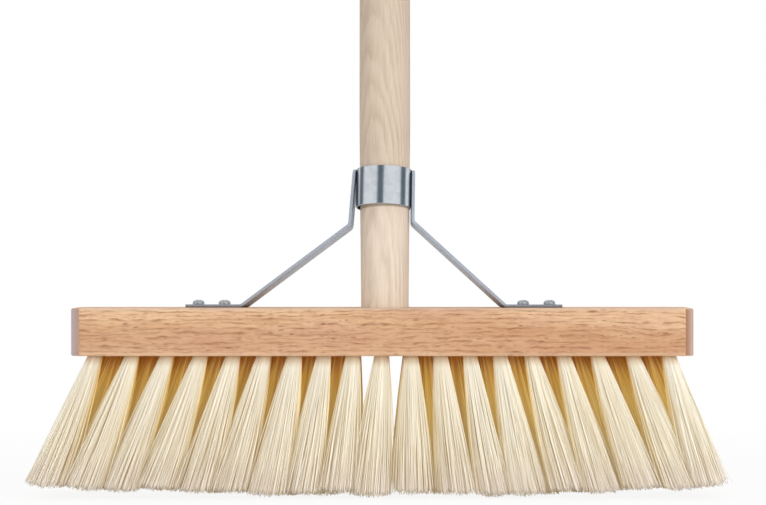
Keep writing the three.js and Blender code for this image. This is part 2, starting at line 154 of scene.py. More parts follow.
class Graph:
    """A node tree that is written as expressions."""

    def __init__(self, tree: bpy.types.NodeTree) -> None:
        """Wraps a node tree."""
        self.tree = tree

    def output(self, node: bpy.types.Node, identifier: str | None = None) -> Value:
        """Wraps one output of a node.

        Args:
            node: The node.
            identifier: The output's identifier, or None for the first one in use.

        Returns:
            The wrapped socket.
        """
        in_use = [socket for socket in node.outputs if socket.enabled]
        wanted = [socket for socket in in_use if identifier in (None, socket.identifier)]
        return Value(self, wanted[0])

    def node(self, kind: str, settings: dict | None = None, sockets: dict | None = None) -> Value:
        """Adds any node.

        Args:
            kind: The node's type name.
            settings: The node's own settings, set before its sockets.
            sockets: Values or links of its inputs, by identifier.

        Returns:
            The node's first output in use.
        """
        node = self.tree.nodes.new(kind)
        for name, setting in (settings or {}).items():
            setattr(node, name, setting)
        for identifier, term in (sockets or {}).items():
            socket = next(each for each in node.inputs if each.identifier == identifier)
            if isinstance(term, Value):
                self.tree.links.new(term.socket, socket)
            else:
                socket.default_value = term
        return self.output(node)

    def end_in(self, kind: str, shader: Value) -> None:
        """Links a shader to a new output node of the tree."""
        end = self.tree.nodes.new(kind)
        self.tree.links.new(shader.socket, end.inputs["Surface"])

    def arithmetic(self, operation: str, first: Term, second: Term = 0.0) -> Value:
        """Adds one Math node, or a Vector Math node where a term is a vector.

        Args:
            operation: The node's operation.
            first: The first term.
            second: The second term.

        Returns:
            The result.
        """
        terms = (first, second)
        vectors = [isinstance(term, Value) and term.socket.type == "VECTOR" for term in terms]
        settings = {"operation": operation}
        if not any(vectors):
            return self.node("ShaderNodeMath", settings, {"Value": first, "Value_001": second})
        if operation == "MULTIPLY" and not all(vectors):
            vector, scale = terms if vectors[0] else reversed(terms)
            sockets = {"Vector": vector, "Scale": scale}
            return self.node("ShaderNodeVectorMath", {"operation": "SCALE"}, sockets)
        return self.node("ShaderNodeVectorMath", settings, {"Vector": first, "Vector_001": second})

    def sine(self, angle: Term) -> Value:
        """Gives the sine of an angle."""
        return self.arithmetic("SINE", angle)

    def cosine(self, angle: Term) -> Value:
        """Gives the cosine of an angle."""
        return self.arithmetic("COSINE", angle)

    def size(self, term: Term) -> Value:
        """Gives a term without its sign."""
        return self.arithmetic("ABSOLUTE", term)

    def greater(self, first: Term, second: Term) -> Value:
        """Gives the greater of two terms."""
        return self.arithmetic("MAXIMUM", first, second)

    def vector(self, x: Term, y: Term, z: Term) -> Value:
        """Joins three numbers into a vector."""
        return self.node("ShaderNodeCombineXYZ", {}, {"X": x, "Y": y, "Z": z})

    def parts(self, vector: Value) -> tuple[Value, Value, Value]:
        """Splits a vector into its three numbers."""
        x = self.node("ShaderNodeSeparateXYZ", {}, {"Vector": vector})
        return x, x.sibling("Y"), x.sibling("Z")

    def step(self, value: Value, low: float, high: float) -> Value:
        """Rises smoothly from 0 where the value is low to 1 where it is high, which may be the lesser one."""
        sockets = {"Value": value, "From Min": low, "From Max": high}
        return self.node("ShaderNodeMapRange", {"interpolation_type": "SMOOTHSTEP"}, sockets)

    def mix(self, share: Term, first: Value | Colour, second: Value | Colour) -> Value:
        """Mixes two colours, from the first at share 0 to the second at share 1."""
        sockets = {"Factor_Float": share, "A_Color": first, "B_Color": second}
        return self.node("ShaderNodeMix", {"data_type": "RGBA"}, sockets)

    def stretched(self, place: Value, lengths: Corner) -> Value:
        """Scales a place by a length for each axis, so that a pattern has features of those lengths."""
        sockets = {"Vector": place, "Vector_001": tuple(1 / length for length in lengths)}
        return self.node("ShaderNodeVectorMath", {"operation": "MULTIPLY"}, sockets)

    def noise(self, place: Value, detail: float = 2.0, roughness: float = 0.5) -> Value:
        """Gives noise from 0 to 1 with features about one unit of place long and finer layers in them."""
        sockets = {"Vector": place, "Scale": 1.0, "Detail": detail, "Roughness": roughness}
        return self.node("ShaderNodeTexNoise", {}, sockets)

    def cells(self, place: Value) -> Value:
        """Gives the distance to the nearest of many scattered points, about one unit of place apart."""
        return self.node("ShaderNodeTexVoronoi", {}, {"Vector": place, "Scale": 1.0})


@dataclass(frozen=True)
class Pattern:
    """Noise whose features have a named length along each axis."""

    lengths: Corner
    detail: float = 2.0
    roughness: float = 0.5

    def at(self, graph: Graph, place: Value) -> Value:
        """Gives the noise from 0 to 1 at a place."""
        return graph.noise(graph.stretched(place, self.lengths), self.detail, self.roughness)


class ShaderGraph(Graph):
    """The node tree of one material."""

    def __init__(self, name: str) -> None:
        """Makes a material with an empty tree.

        Args:
            name: Name of the material.
        """
        self.material = bpy.data.materials.new(name)
        self.material.use_nodes = True
        super().__init__(self.material.node_tree)
        self.tree.nodes.clear()

    def place(self) -> Value:
        """Gives the place on the piece, in metres in the frame's axes."""
        return self.node("ShaderNodeTexCoord").sibling("Object")

    def attribute(self, name: str) -> Value:
        """Gives a number that the mesh carries at each point."""
        return self.node("ShaderNodeAttribute", {"attribute_name": name}).sibling("Fac")

    def bump(self, height: Value, depth: float) -> Value:
        """Gives the normal tilted by a height map, where a height of 1 stands proud by the depth."""
        return self.node("ShaderNodeBump", {}, {"Strength": 1.0, "Distance": depth, "Height": height})

    def surface(self, sockets: dict) -> bpy.types.Material:
        """Ends the tree in a principled surface with these inputs and gives the finished material."""
        return self.show(self.node("ShaderNodeBsdfPrincipled", {}, sockets))

    def show(self, shader: Value) -> bpy.types.Material:
        """Ends the tree in any shader and gives the finished material."""
        self.end_in("ShaderNodeOutputMaterial", shader)
        return self.material


class GeometryGraph(Graph):
    """A Geometry Nodes tree with named inputs."""

    def __init__(self, name: str) -> None:
        """Makes an empty tree that takes and gives one geometry.

        Args:
            name: Name of the tree.
        """
        super().__init__(bpy.data.node_groups.new(name, "GeometryNodeTree"))
        self.settings: dict[str, object] = {}
        self.tree.interface.new_socket("Geometry", in_out="INPUT", socket_type="NodeSocketGeometry")
        self.tree.interface.new_socket("Geometry", in_out="OUTPUT", socket_type="NodeSocketGeometry")
        self.entry = self.tree.nodes.new("NodeGroupInput")

    def geometry(self) -> Value:
        """Gives the geometry that enters the tree."""
        return Value(self, self.entry.outputs["Geometry"])

    def named_input(self, name: str, kind: SocketKind, setting: object) -> Value:
        """Adds a named input.

        Args:
            name: The input's name.
            kind: What it takes.
            setting: What it is set to when the tree runs.

        Returns:
            The input's value in the tree.
        """
        item = self.tree.interface.new_socket(name, in_out="INPUT", socket_type=kind.value)
        self.settings[item.identifier] = setting
        return Value(self, self.entry.outputs[name])

    def stored(self, geometry: Value, name: str, kind: PointKind, value: Value) -> Value:
        """Stores a value on each point of a geometry.

        Args:
            geometry: The geometry.
            name: The name that the value is stored under.
            kind: Kind of the value.
            value: The value.

        Returns:
            The geometry with the stored value.
        """
        settings = {"data_type": kind.value, "domain": "POINT"}
        sockets = {"Geometry": geometry, "Name": name, "Value": value}
        return self.node("GeometryNodeStoreNamedAttribute", settings, sockets)

    def recalled(self, name: str, kind: PointKind = PointKind.NUMBER) -> Value:
        """Reads a value that was stored on each point under a name."""
        return self.node("GeometryNodeInputNamedAttribute", {"data_type": kind.value}, {"Name": name})

    def repeated(self, points: Value, count: Value) -> Value:
        """Repeats each point, which then has its number among the repeats as Duplicate Index."""
        sockets = {"Geometry": points, "Amount": count}
        return self.node("GeometryNodeDuplicateElements", {"domain": "POINT"}, sockets)

    def chance(self, seed: Value | int, low: float = 0.0, high: float = 1.0) -> Value:
        """Gives each point its own random number between two limits."""
        sockets = {"Min_001": low, "Max_001": high, "Seed": seed}
        return self.node("FunctionNodeRandomValue", {"data_type": "FLOAT"}, sockets)

    def end(self, geometry: Value, material: Value) -> None:
        """Ends the tree with real meshes of one material.

        Args:
            geometry: The geometry.
            material: The material.
        """
        real = self.node("GeometryNodeRealizeInstances", {}, {"Geometry": geometry})
        dressed = self.node("GeometryNodeSetMaterial", {}, {"Geometry": real, "Material": material})
        end = self.tree.nodes.new("NodeGroupOutput")
        self.tree.links.new(dressed.socket, end.inputs["Geometry"])

    def run(self, piece: bpy.types.Object) -> None:
        """Runs the tree on a piece and keeps the result as its plain mesh.

        Args:
            piece: The piece, whose mesh is replaced.
        """
        modifier = piece.modifiers.new(self.tree.name, "NODES")
        modifier.node_group = self.tree
        for identifier, setting in self.settings.items():
            modifier[identifier] = setting
        keep_evaluated(piece)


def new_piece(name: str, mesh: bpy.types.Mesh) -> bpy.types.Object:
    """Links a mesh to the scene as a piece at the origin.

    Args:
        name: Name of the piece.
        mesh: Its mesh.

    Returns:
        The piece.
    """
    piece = bpy.data.objects.new(name, mesh)
    bpy.context.scene.collection.objects.link(piece)
    return piece


def carry(mesh: bpy.types.Mesh, name: str, kind: PointKind, values: list[float]) -> None:
    """Gives each point of a mesh a value under a name, from one flat list."""
    attribute = mesh.attributes.new(name, kind.value, "POINT")
    attribute.data.foreach_set("vector" if kind is PointKind.VECTOR else "value", values)


def keep_evaluated(piece: bpy.types.Object) -> None:
    """Replaces a piece's mesh by what its modifiers make of it, and removes them.

    Args:
        piece: The piece.
    """
    depsgraph = bpy.context.evaluated_depsgraph_get()
    evaluated = piece.evaluated_get(depsgraph)
    mesh = bpy.data.meshes.new_from_object(evaluated, preserve_all_data_layers=True, depsgraph=depsgraph)
    mesh.name = piece.name
    piece.modifiers.clear()
    piece.data = mesh


def soften_edges(piece: bpy.types.Object, width: float) -> None:
    """Rounds the sharp edges of a piece and shades it by its larger faces.

    Args:
        piece: The piece, whose mesh is replaced.
        width: Width of the rounding.
    """
    rounding_steps = 2
    sharp_angle = math.radians(35)
    large_face_weight = 90
    bevel = piece.modifiers.new("soft_edges", "BEVEL")
    bevel.width = width
    bevel.segments = rounding_steps
    bevel.limit_method = "ANGLE"
    bevel.angle_limit = sharp_angle
    for polygon in piece.data.polygons:
        polygon.use_smooth = True
    normals = piece.modifiers.new("face_normals", "WEIGHTED_NORMAL")
    normals.weight = large_face_weight
    keep_evaluated(piece)


def mesh_of(name: str, made: bmesh.types.BMesh) -> bpy.types.Mesh:
    """Keeps a bmesh as a mesh with its faces pointing out.

    Args:
        name: Name of the mesh.
        made: The bmesh, which is freed.

    Returns:
        The mesh.
    """
    bmesh.ops.recalc_face_normals(made, faces=made.faces)
    mesh = bpy.data.meshes.new(name)
    made.to_mesh(mesh)
    made.free()
    return mesh


def turned_mesh(name: str, profile: list[Pair], sides: int) -> bpy.types.Mesh:
    """Turns a profile of radius and height about the Z axis into a closed mesh.

    Args:
        name: Name of the mesh.
        profile: Radius and height from the bottom to the top, both ends on the axis.
        sides: Faces round the axis.

    Returns:
        The mesh.
    """
    made = bmesh.new()
    rings = []
    for radius, height in profile:
        count = sides if radius > 0 else 1
        angles = [2 * math.pi * i / sides for i in range(count)]
        rings.append([made.verts.new((radius * math.cos(a), radius * math.sin(a), height)) for a in angles])
    for below, above in zip(rings, rings[1:]):
        for i in range(sides):
            j = (i + 1) % sides
            lower = [below[i % len(below)], below[j % len(below)]]
            upper = [above[j % len(above)], above[i % len(above)]]
            made.faces.new(list(dict.fromkeys(lower + upper)))
    return mesh_of(name, made)


def span_along(node: str, origin: Vector, axis: Vector) -> Pair:
    """Measures a CAD node along an axis.

    Args:
        node: The node's name.
        origin: The point that is measured from.
        axis: The direction of length 1 that is measured along.

    Returns:
        The least and the greatest distance of its corners.
    """
    distances = [(vertex.co - origin).dot(axis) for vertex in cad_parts[node].data.vertices]
    return min(distances), max(distances)


def settle(piece: bpy.types.Object, slot: str, *nodes: str) -> None:
    """Makes a finished piece ride on the body in place of CAD nodes, and reports it.

    Args:
        piece: The piece.
        slot: The record's material slot of the piece's finish; not used.
        nodes: The CAD nodes that it stands for.
    """
    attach(piece, BODY)
    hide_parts(*nodes)
    log.info("%s stands for %s, %d faces", piece.name, ", ".join(nodes), len(piece.data.polygons))


@dataclass(frozen=True)
class AshFinish:
    """Sanded pale ash whose rings come out as long arches on the front of a leaning stick."""

    origin: Corner
    lean: float
    pale: Colour = linear(216, 199, 178)
    rosy: Colour = linear(209, 190, 174)
    cloud: Pattern = Pattern((25 * MM, 25 * MM, 100 * MM))
    cloud_range: Pair = (0.3, 0.7)
    deep: Colour = linear(180, 156, 131)
    least_deep: float = 0.12
    # Painted light: the stick's lowest part is paler, standing in for light bounced up from the block and the
    # floor.
    foot: Colour = linear(233, 217, 199)
    bounce_lit_deep: Colour = linear(192, 172, 148)
    bounce_lit_heights: Pair = (100 * MM, 30 * MM)
    # Painted shadow: a dark line on the stick just under the collar's lower rim.
    collar_shadow: Colour = linear(118, 104, 90)
    collar_shadow_height: float = 58.6 * MM
    collar_shadow_widths: Pair = (1.1 * MM, 0.44 * MM)
    collar_shadow_share: float = 0.6
    ring_pitch: float = 2.5 * MM
    ring_rise: Pair = (0.15, 0.8)
    ring_fall: Pair = (1.0, 0.82)
    ring_share: float = 0.5
    heart: Pair = (60 * MM, 100 * MM)
    sweep: float = 24 * MM
    sweep_length: float = 1.1
    sweep_middle: float = 0.2
    warp: Pattern = Pattern((11 * MM, 11 * MM, 50 * MM), 3.0, 0.6)
    warp_rings: float = 2.2
    fade: Pattern = Pattern((14 * MM, 14 * MM, 30 * MM))
    fade_range: Pair = (0.2, 0.8)
    fibre: Pattern = Pattern((0.9 * MM, 0.9 * MM, 20 * MM), 3.0, 0.65)
    fibre_share: float = 0.9
    pore: Pattern = Pattern((0.6 * MM, 0.6 * MM, 7 * MM), 1.0)
    pore_range: Pair = (0.6, 0.75)
    pore_share: float = 0.15
    roughness: float = 0.5
    fibre_roughness: float = 0.18
    relief: float = 0.06 * MM
    fibre_relief: float = 0.6
    ring_relief: float = 0.3
    pore_relief: float = 0.3

    def material(self) -> bpy.types.Material:
        """Builds the material.

        Returns:
            The finished material.
        """
        graph = ShaderGraph("pale_ash")
        turned = {"Vector": graph.place(), "Location": self.origin, "Rotation": (-self.lean, 0, 0)}
        place = graph.node("ShaderNodeMapping", {"vector_type": "TEXTURE"}, turned)
        _, _, z = graph.parts(place)
        ring = self._rings(graph, place)
        fade = graph.step(self.fade.at(graph, place), *self.fade_range)
        fibre = self.fibre.at(graph, place)
        pore = graph.step(self.pore.at(graph, place), *self.pore_range)
        cloud = graph.step(self.cloud.at(graph, place), *self.cloud_range)
        # Painted bounce light: paler wood and grain towards the block.
        bounce_lit = graph.step(z, *self.bounce_lit_heights)
        base = graph.mix(bounce_lit, graph.mix(cloud, self.pale, self.rosy), self.foot)
        grain = graph.mix(bounce_lit, self.deep, self.bounce_lit_deep)
        lines = ring * fade * self.ring_share + (fibre - NOISE_MIDDLE) * self.fibre_share
        shade = lines + pore * self.pore_share + self.least_deep
        grained = graph.mix(shade, base, grain)
        # Painted shadow of the collar's rim.
        under_collar_shadow = graph.step(graph.size(z - self.collar_shadow_height), *self.collar_shadow_widths) * self.collar_shadow_share
        height = fibre * self.fibre_relief + ring * self.ring_relief - pore * self.pore_relief
        sockets = {
            "Base Color": graph.mix(under_collar_shadow, grained, self.collar_shadow),
            "Roughness": self.roughness + fibre * self.fibre_roughness,
            "Normal": graph.bump(height, self.relief),
        }
        return graph.surface(sockets)

    def _rings(self, graph: ShaderGraph, place: Value) -> Value:
        """Draws the rings round a heart that lies beside the stick and sweeps along it.

        Args:
            graph: The material's graph.
            place: The place in the stick's own frame.

        Returns:
            How dark the rings' lines are, from 0 to 1.
        """
        x, y, z = graph.parts(place)
        warp = (self.warp.at(graph, place) - NOISE_MIDDLE) * self.warp_rings
        bend = graph.sine((z - self.sweep_middle) * (2 * math.pi / self.sweep_length)) * self.sweep
        from_heart_x = x - self.heart[0]
        from_heart_y = y - self.heart[1] + bend
        squares = from_heart_x * from_heart_x + from_heart_y * from_heart_y
        phase = graph.arithmetic("FRACT", graph.arithmetic("SQRT", squares) / self.ring_pitch + warp)
        return graph.step(phase, *self.ring_rise) * graph.step(phase, *self.ring_fall)


@dataclass(frozen=True)
class BeechFinish:
    """Planed beech with its rays as short dark flecks along the block."""

    light: Colour = linear(231, 193, 153)
    warm: Colour = linear(207, 160, 117)
    broad: Pattern = Pattern((150 * MM, 12 * MM, 12 * MM))
    broad_range: Pair = (0.32, 0.68)
    rosy: Colour = linear(212, 164, 134)
    blush: Pattern = Pattern((60 * MM, 16 * MM, 16 * MM))
    blush_range: Pair = (0.45, 0.7)
    blush_share: float = 0.6
    low: Colour = linear(199, 148, 113)
    low_heights: Pair = (101 * MM, 95 * MM)
    low_share: float = 0.45
    # Painted highlight: a light line along the block's lower edges, as if their rounding caught the light.
    lower_edge_highlight: Colour = linear(238, 208, 176)
    lower_highlight_heights: Pair = (84.6 * MM, 83.6 * MM)
    lower_highlight_share: float = 0.25
    # Painted sheen: the top long edges are paler and greyer, as if they caught the pale surroundings.
    top_edge_sheen: Colour = linear(212, 192, 178)
    sheen_heights: Pair = (107.6 * MM, 108.9 * MM)
    sheen_depths: Pair = (29.2 * MM, 30.0 * MM)
    sheen_share: float = 0.32
    vein: Colour = linear(158, 104, 68)
    least_vein: float = 0.07
    line_pitch: float = 2.5 * MM
    line_rise: Pair = (0.3, 0.94)
    line_fall: Pair = (1.0, 0.95)
    line_share: float = 0.66
    slope: float = 0.35
    drift: Pattern = Pattern((90 * MM, 50 * MM, 14 * MM))
    drift_height: float = 9 * MM
    ripple: Pattern = Pattern((9 * MM, 8 * MM, 5 * MM))
    ripple_height: float = 2.2 * MM
    fade_length: float = 12 * MM
    fade_depth: float = 10 * MM
    fade_range: Pair = (0.34, 0.68)
    fibre: Pattern = Pattern((7 * MM, 0.9 * MM, 0.9 * MM), 2.0, 0.6)
    fibre_share: float = 1.3
    fleck: Colour = linear(134, 84, 52)
    fleck_length: float = 6 * MM
    fleck_height: float = 1.25 * MM
    fleck_edge: Pair = (0.45, 0.12)
    fleck_strengths: Pair = (0.66, 1.0)
    fleck_share: float = 0.75
    small_fleck: float = 0.6
    small_share: float = 0.55
    roughness: float = 0.46
    fibre_roughness: float = 0.2
    relief: float = 0.05 * MM
    fibre_relief: float = 0.5
    fleck_relief: float = 0.4

    def material(self) -> bpy.types.Material:
        """Builds the material.

        Returns:
            The finished material.
        """
        graph = ShaderGraph("planed_beech")
        place = graph.place()
        x, y, z = graph.parts(place)
        drift = (self.drift.at(graph, place) - NOISE_MIDDLE) * self.drift_height
        ripple = (self.ripple.at(graph, place) - NOISE_MIDDLE) * self.ripple_height
        wavy = graph.vector(x, y, z + y * self.slope + drift + ripple)
        fibre = self.fibre.at(graph, wavy)
        flecks = self._flecks(graph, wavy, 1.0) * self.fleck_share
        small = self._flecks(graph, wavy, self.small_fleck) * self.small_share
        toned = graph.mix(graph.step(self.broad.at(graph, wavy), *self.broad_range), self.light, self.warm)
        blush = graph.step(self.blush.at(graph, place), *self.blush_range) * self.blush_share
        blushed = graph.mix(blush, toned, self.rosy)
        base = graph.mix(graph.step(z, *self.low_heights) * self.low_share, blushed, self.low)
        lines = self._lines(graph, wavy) * self.line_share
        veins = lines + (fibre - NOISE_MIDDLE) * self.fibre_share + self.least_vein
        veined = graph.mix(veins, base, self.vein)
        flecked = graph.mix(graph.greater(flecks, small), veined, self.fleck)
        # Painted highlight along the lower edges.
        with_painted_light = graph.mix(graph.step(z, *self.lower_highlight_heights) * self.lower_highlight_share, flecked, self.lower_edge_highlight)
        # Painted sheen on the top long edges; dull is its share.
        near_face = graph.step(graph.size(y), *self.sheen_depths)
        dull = graph.step(z, *self.sheen_heights) * near_face * self.sheen_share
        sockets = {
            "Base Color": graph.mix(dull, with_painted_light, self.top_edge_sheen),
            "Roughness": self.roughness + fibre * self.fibre_roughness,
            "Normal": graph.bump(fibre * self.fibre_relief - flecks * self.fleck_relief, self.relief),
        }
        return graph.surface(sockets)

    def _lines(self, graph: ShaderGraph, wavy: Value) -> Value:
        """Draws the lines between the layers of the wood, each of which comes and goes along the block.

        Args:
            graph: The material's graph.
            wavy: The place on the block, with the height that the layers follow.

        Returns:
            How dark the lines are, from 0 to 1.
        """
        x, y, height = graph.parts(wavy)
        level = height / self.line_pitch
        phase = graph.arithmetic("FRACT", level)
        fade = graph.noise(graph.vector(x / self.fade_length, y / self.fade_depth, level), 1.0)
        line = graph.step(phase, *self.line_rise) * graph.step(phase, *self.line_fall)
        return line * graph.step(fade, *self.fade_range)

    def _flecks(self, graph: ShaderGraph, place: Value, size: float) -> Value:
        """Draws lens-shaped flecks of one size, each with its own strength.

        Args:
            graph: The material's graph.
            place: The place on the block.
            size: Size of the flecks against the named ones.

        Returns:
            How dark the flecks are, from 0 to 1.
        """
        height = self.fleck_height * size
        shifted = place + (size, size, size)
        distance = graph.cells(graph.stretched(shifted, (self.fleck_length * size, height, height)))
        strength, _, _ = graph.parts(distance.sibling("Color"))
        return graph.step(distance, *self.fleck_edge) * graph.step(strength, *self.fleck_strengths)


@dataclass(frozen=True)
class EndGrainFinish:
    """Sawn corners and ends of the block: greyer on the left, which is painted light, dimmer and cooler than
    on the right; redder to the inner edges, with saw lines.
    """

    # Painted light: the left colours are greyer and cooler than the right ones, as if that side were lit more
    # dimly.
    left_inner: Colour = linear(197, 160, 146)
    left_outer: Colour = linear(195, 180, 178)
    right_inner: Colour = linear(168, 118, 82)
    right_outer: Colour = linear(198, 172, 156)
    cut_places: Pair = (175.3 * MM, 179.4 * MM)
    side_places: Pair = (-100 * MM, 100 * MM)
    deep: Colour = linear(168, 136, 122)
    ring: Pattern = Pattern((50 * MM, 12 * MM, 4 * MM))
    ring_share: float = 0.3
    saw: Pattern = Pattern((50 * MM, 0.9 * MM, 30 * MM), 1.0)
    saw_share: float = 0.3
    saw_relief: float = 0.06 * MM
    roughness: float = 0.62
    saw_roughness: float = 0.15

    def material(self) -> bpy.types.Material:
        """Builds the material.

        Returns:
            The finished material.
        """
        graph = ShaderGraph("beech_end_grain")
        place = graph.place()
        x, _, _ = graph.parts(place)
        saw = self.saw.at(graph, place)
        on_right = graph.step(x, *self.side_places)
        inner = graph.mix(on_right, self.left_inner, self.right_inner)
        outer = graph.mix(on_right, self.left_outer, self.right_outer)
        toned = graph.mix(graph.step(graph.size(x), *self.cut_places), inner, outer)
        grain = self.ring.at(graph, place) * self.ring_share + (saw - NOISE_MIDDLE) * self.saw_share
        sockets = {
            "Base Color": graph.mix(grain, toned, self.deep),
            "Roughness": self.roughness + saw * self.saw_roughness,
            "Normal": graph.bump(saw, self.saw_relief),
        }
        return graph.surface(sockets)


@dataclass(frozen=True)
class ZincFinish:
    """Zinc coating with a faint spangle, patches of wear and, where it is asked for, a darker colour near the
    block.
    """

    name: str = "bright_zinc"
    bright: Colour = linear(208, 213, 218)
    dull: Colour = linear(188, 194, 201)
    roughness: float = 0.13
    metal: float = 1.0
    relief: float = 0.012 * MM
    spangle: float = 3.5 * MM
    spangle_share: float = 0.35
    spangle_roughness: float = 0.04
    spangle_relief: float = 0.4
    grain: Pattern = Pattern((0.9 * MM, 0.9 * MM, 0.9 * MM), 3.0, 0.65)
    grain_roughness: float = 0.08
    wear: Pattern = Pattern((12 * MM, 12 * MM, 12 * MM), 3.0, 0.6)
    wear_range: Pair = (0.45, 0.75)
    wear_share: float = 0.4
    # A near-black colour mixed in towards the top of the block, where the legs' feet lie.
    near_block_dark: Colour = linear(84, 85, 84)
    near_block_share: float = 0.0
    near_block_heights: Pair = (112 * MM, 109 * MM)

    def material(self) -> bpy.types.Material:
        """Builds the material.

        Returns:
            The finished material.
        """
        graph = ShaderGraph(self.name)
        place = graph.place()
        _, _, z = graph.parts(place)
        crystals = graph.cells(graph.stretched(place, (self.spangle, self.spangle, self.spangle)))
        tone, _, _ = graph.parts(crystals.sibling("Color"))
        grain = self.grain.at(graph, place)
        wear = graph.step(self.wear.at(graph, place), *self.wear_range)
        clean = graph.mix(tone * self.spangle_share + wear * self.wear_share, self.bright, self.dull)
        sockets = {
            "Base Color": graph.mix(graph.step(z, *self.near_block_heights) * self.near_block_share, clean, self.near_block_dark),
            "Metallic": self.metal,
            "Roughness": self.roughness + grain * self.grain_roughness + tone * self.spangle_roughness,
            "Normal": graph.bump(grain + tone * self.spangle_relief, self.relief),
        }
        return graph.surface(sockets)


@dataclass(frozen=True)
class BristleFinish:
    """Cream fibre: each filament has its own tone; those inside the field are painted golden and darker as
    painted shade and light bounced between filaments, and the fibre glows faintly as painted light.

    Places along a filament run from 0 at its root to 1 at its tip.
    """

    cream: Colour = linear(251, 248, 238)
    straw: Colour = linear(245, 236, 212)
    # Painted shade: a few random darker strands in the middle and lower part stand in for the dark lines of
    # shade between filaments.
    shade: Colour = linear(208, 191, 164)
    shade_tones: Pair = (0.78, 1.0)
    shade_places: Pair = (0.25, 0.8)
    tip: Colour = linear(238, 229, 219)
    tip_places: Pair = (0.72, 0.98)
    tip_share: float = 0.7
    # Painted shadow: the last bit of each tip is darker, standing in for the shade under the trimmed ends.
    tip_end_shadow: Colour = linear(130, 122, 116)
    cut_places: Pair = (0.98, 1.0)
    tip_end_shadow_share: float = 0.4
    # Painted shadow: the roots are tan and darker just under the block, standing in for the block's shadow
    # and the warm light it reflects.
    root: Colour = linear(188, 154, 110)
    root_shadow_places: Pair = (0.142, 0.05)
    root_shadow_share: float = 0.85
    # Painted shade and bounced light: filaments inside the field are golden, and ochre in the streaks.
    gold: Colour = linear(248, 219, 136)
    ochre: Colour = linear(206, 156, 40)
    streak_share: float = 0.75
    # Painted shadow: inner filaments turn brown near the block, the shade at the top of the gaps.
    gap_shadow_brown: Colour = linear(188, 108, 4)
    gap_shadow_places: Pair = (0.15, -0.02)
    gap_shadow_reach: float = 0.14
    inside_places: Pair = (0.25, 0.97)
    inside_fade: float = 0.75
    # Painted light: the fibre glows, faintly outside and golden inside the field, standing in for light that
    # passes between filaments; the streaks glow less as painted shade.
    glow: Colour = (0.052, 0.04, 0.023, 1.0)
    root_glow: Colour = (0.05, 0.018, 0.0, 1.0)
    inner_glow: Colour = (0.1, 0.066, 0.004, 1.0)
    inner_places: Pair = (0.04, 0.22)
    deep_glow: Colour = (0.14, 0.13, 0.045, 1.0)
    deep_places: Pair = (0.16, 0.4)
    streak_glow: Colour = (0.04, 0.02, 0.0, 1.0)
    streak_places: Pair = (0.14, 0.28)
    streak_dimming: float = 0.42
    roughness: float = 0.42
    tone_roughness: float = 0.15
    specular: float = 0.35

    def material(self) -> bpy.types.Material:
        """Builds the material.

        Returns:
            The finished material.
        """
        graph = ShaderGraph("cream_fibre")
        along = graph.attribute("along")
        tone = graph.attribute("tone")
        streak = graph.attribute("streak")
        # Painted shade and bounced light inside the field, fading towards the tips.
        inside = graph.attribute("depth") * (1 - graph.step(along, *self.inside_places) * self.inside_fade)
        outer = self._outer_colour(graph, along, tone)
        golden = graph.mix(streak * self.streak_share + tone * (1 - self.streak_share), self.gold, self.ochre)
        # Painted shadow near the block, reaching further in the streaks.
        gap_shadowed = graph.step(along - streak * self.gap_shadow_reach, *self.gap_shadow_places)
        sockets = {
            "Base Color": graph.mix(inside, outer, graph.mix(gap_shadowed, golden, self.gap_shadow_brown)),
            "Roughness": self.roughness + tone * self.tone_roughness,
            "Specular IOR Level": self.specular,
            # Painted light: the fibre glows though it is no lamp.
            "Emission Color": graph.mix(inside, self.glow, self._inner_light(graph, along, streak)),
            "Emission Strength": 1.0,
        }
        return graph.surface(sockets)

    def _outer_colour(self, graph: ShaderGraph, along: Value, tone: Value) -> Value:
        """Gives the colour of a filament on the outside of the field, with painted shade in a few strands,
        under the tips' ends and at the roots.

        Args:
            graph: The material's graph.
            along: The place along the filament.
            tone: The filament's own tone, from 0 to 1.

        Returns:
            The colour.
        """
        # Painted shade in a few strands.
        shadow_strands = graph.step(tone, *self.shade_tones) * graph.step(along, *self.shade_places)
        own = graph.mix(shadow_strands, graph.mix(tone, self.cream, self.straw), self.shade)
        paled = graph.mix(graph.step(along, *self.tip_places) * self.tip_share, own, self.tip)
        # Painted shadow at the tips' ends.
        with_painted_light = graph.mix(graph.step(along, *self.cut_places) * self.tip_end_shadow_share, paled, self.tip_end_shadow)
        # Painted shadow and reflection of the block at the roots.
        return graph.mix(graph.step(along, *self.root_shadow_places) * self.root_shadow_share, with_painted_light, self.root)

    def _inner_light(self, graph: ShaderGraph, along: Value, streak: Value) -> Value:
        """Gives the painted glow that stands in for the light that passes from filament to filament inside
        the field, dimmed in the streaks as painted shade.

        Args:
            graph: The material's graph.
            along: The place along the filament.
            streak: How far the filament lies in a dark streak, from 0 to 1.

        Returns:
            The light's colour.
        """
        upper = graph.mix(graph.step(along, *self.inner_places), self.root_glow, self.inner_glow)
        lower = graph.mix(graph.step(along, *self.deep_places), upper, self.deep_glow)
        dimmed = streak * graph.step(along, *self.streak_places) * self.streak_dimming
        return graph.mix(dimmed, lower, self.streak_glow)


